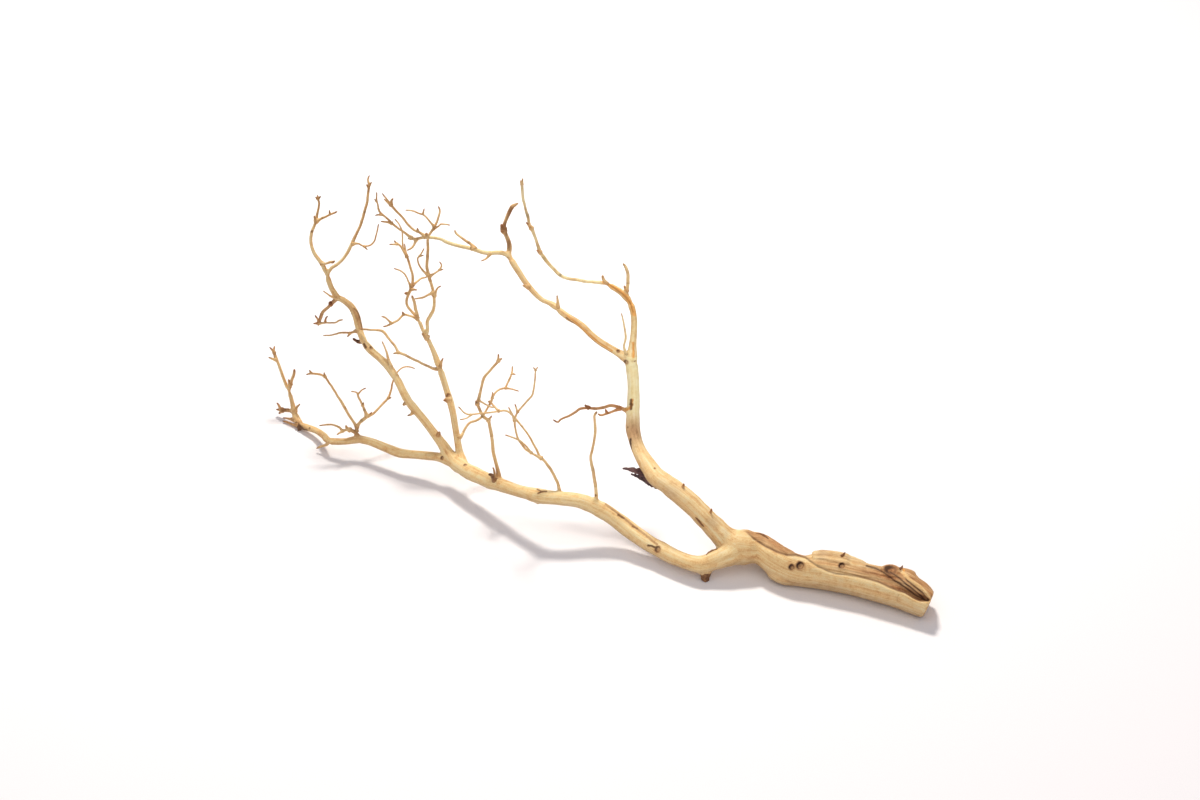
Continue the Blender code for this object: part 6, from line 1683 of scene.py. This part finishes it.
def build_piece(node):
    """One mesh object with everything that the node holds."""
    shares = list(parts[node])
    if (face_node == node).any():
        shares.insert(0, skin_share(node))
    faces, slots, offset = [], [], 0
    for share in shares:
        faces += [[v + offset for v in face] for face in share.faces]
        slots += [share.slot] * len(share.faces)
        offset += len(share.points)
    mesh = bpy.data.meshes.new(node + "_wood")
    all_points = np.clip(np.vstack([share.points for share in shares]), LOWEST, HIGHEST)
    mesh.from_pydata(all_points.tolist(), [], faces)
    mesh.materials.append(wood)
    mesh.materials.append(bark)
    mesh.polygons.foreach_set("material_index", slots)
    layer = mesh.attributes.new("grain", "FLOAT_VECTOR", "POINT")
    layer.data.foreach_set("vector", np.vstack([share.grain for share in shares]).ravel())
    tones = np.vstack([share.tones for share in shares])
    for column, name in enumerate(TONES):
        layer = mesh.attributes.new(name, "FLOAT", "POINT")
        layer.data.foreach_set("value", tones[:, column].copy())
    mesh.shade_smooth()
    kept = np.zeros((len(mesh.vertices), 3))
    if shares[0].normals is not None:
        kept[:len(shares[0].points)] = shares[0].normals
    mesh.normals_split_custom_set_from_vertices(kept.tolist())
    piece = placed(node + "_wood", mesh)
    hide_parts(node)
    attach(piece, "root")
    return piece, open_edge_count(faces)


triangles = 0
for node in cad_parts:
    piece, open_edges = build_piece(node)
    count = sum(len(face.vertices) - 2 for face in piece.data.polygons)
    triangles += count
    print(f"{piece.name}: {count} triangles, open edges {open_edges}")
print("triangles in all:", triangles)

# %% [markdown]
# ## Table, light and camera
#
# The branch lies on white paper. A lamp above it and behind throws its shadow towards the viewer, and a
# wide soft fill from the viewer's side lights the limbs that stand up, without a shadow of its own. A
# soft spot adds to it on the upper right limb, which is the brightest wood of the photograph.

# %% Floor
floor_mesh = bpy.data.meshes.new("paper_floor")
floor_mesh.from_pydata([(-6, -5, 0), (6, -5, 0), (6, 9, 0), (-6, 9, 0)], [], [(0, 1, 2, 3)])
floor = placed("paper_floor", floor_mesh)
paper, paper_tree, paper_shader = new_material("matt white paper", 0.9)
paper_shader.inputs["Specular IOR Level"].default_value = 0.1
paper_place = add(paper_tree, "TexCoord").outputs["Object"]
fibres = add(paper_tree, "TexNoise", {"Vector": paper_place, "Scale": 900.0})
white = ramp(paper_tree, fibres.outputs["Fac"], [(0.3, "#FAF8FB"), (0.7, "#FFFDFF")])
paper_tree.links.new(white, paper_shader.inputs["Base Color"])
floor_mesh.materials.append(paper)

# %% Light
world = bpy.data.worlds.new("white_room")
world.use_nodes = True
background = world.node_tree.nodes["Background"]
background.inputs["Color"].default_value = linear("#F4F2FF")
background.inputs["Strength"].default_value = 0.31
bpy.context.scene.world = world


def lamp(name, kind, place, tilt, turn, watts, colour, **settings):
    """A lamp at a place, turned from straight down: tilt degrees about X, then turn degrees about Z."""
    data = bpy.data.lights.new(name, kind)
    data.energy = watts
    data.color = linear(colour)[:3]
    for setting, value in settings.items():
        setattr(data, setting, value)
    made = placed(name, data)
    made.location = place
    made.rotation_euler = (math.radians(tilt), 0, math.radians(turn))


lamp("key_behind", "AREA", (-0.2, 1.25, 2.5), -26, 0, 66, "#FFF9EF",
     shape="RECTANGLE", size=0.5, size_y=0.4)
lamp("fill_in_front", "AREA", (0.1, -1.45, 2.5), 30, 0, 23, "#FFFBF2",
     shape="RECTANGLE", size=3.0, size_y=2.4)
lamp("spot_on_upper_limb", "SPOT", (0.3, -1.2, 1.3), 49.0, 11.1, 40, "#FFFFFF",
     spot_size=math.radians(17), spot_blend=1.0, shadow_soft_size=0.15)

# %% Camera
SENSOR_WIDTH = 36
camera_data = bpy.data.cameras.new("photograph_view")
camera_data.sensor_width = SENSOR_WIDTH
camera_data.lens = SENSOR_WIDTH * VIEW_FOCAL / VIEW_SIZE[0]
camera_data.clip_end = 40
camera = placed("photograph_view", camera_data)
camera.location = EYE.tolist()
camera.rotation_euler = (math.pi / 2 - VIEW_TILT, 0, 0)
bpy.context.scene.camera = camera
bpy.context.scene.view_settings.view_transform = "Standard"
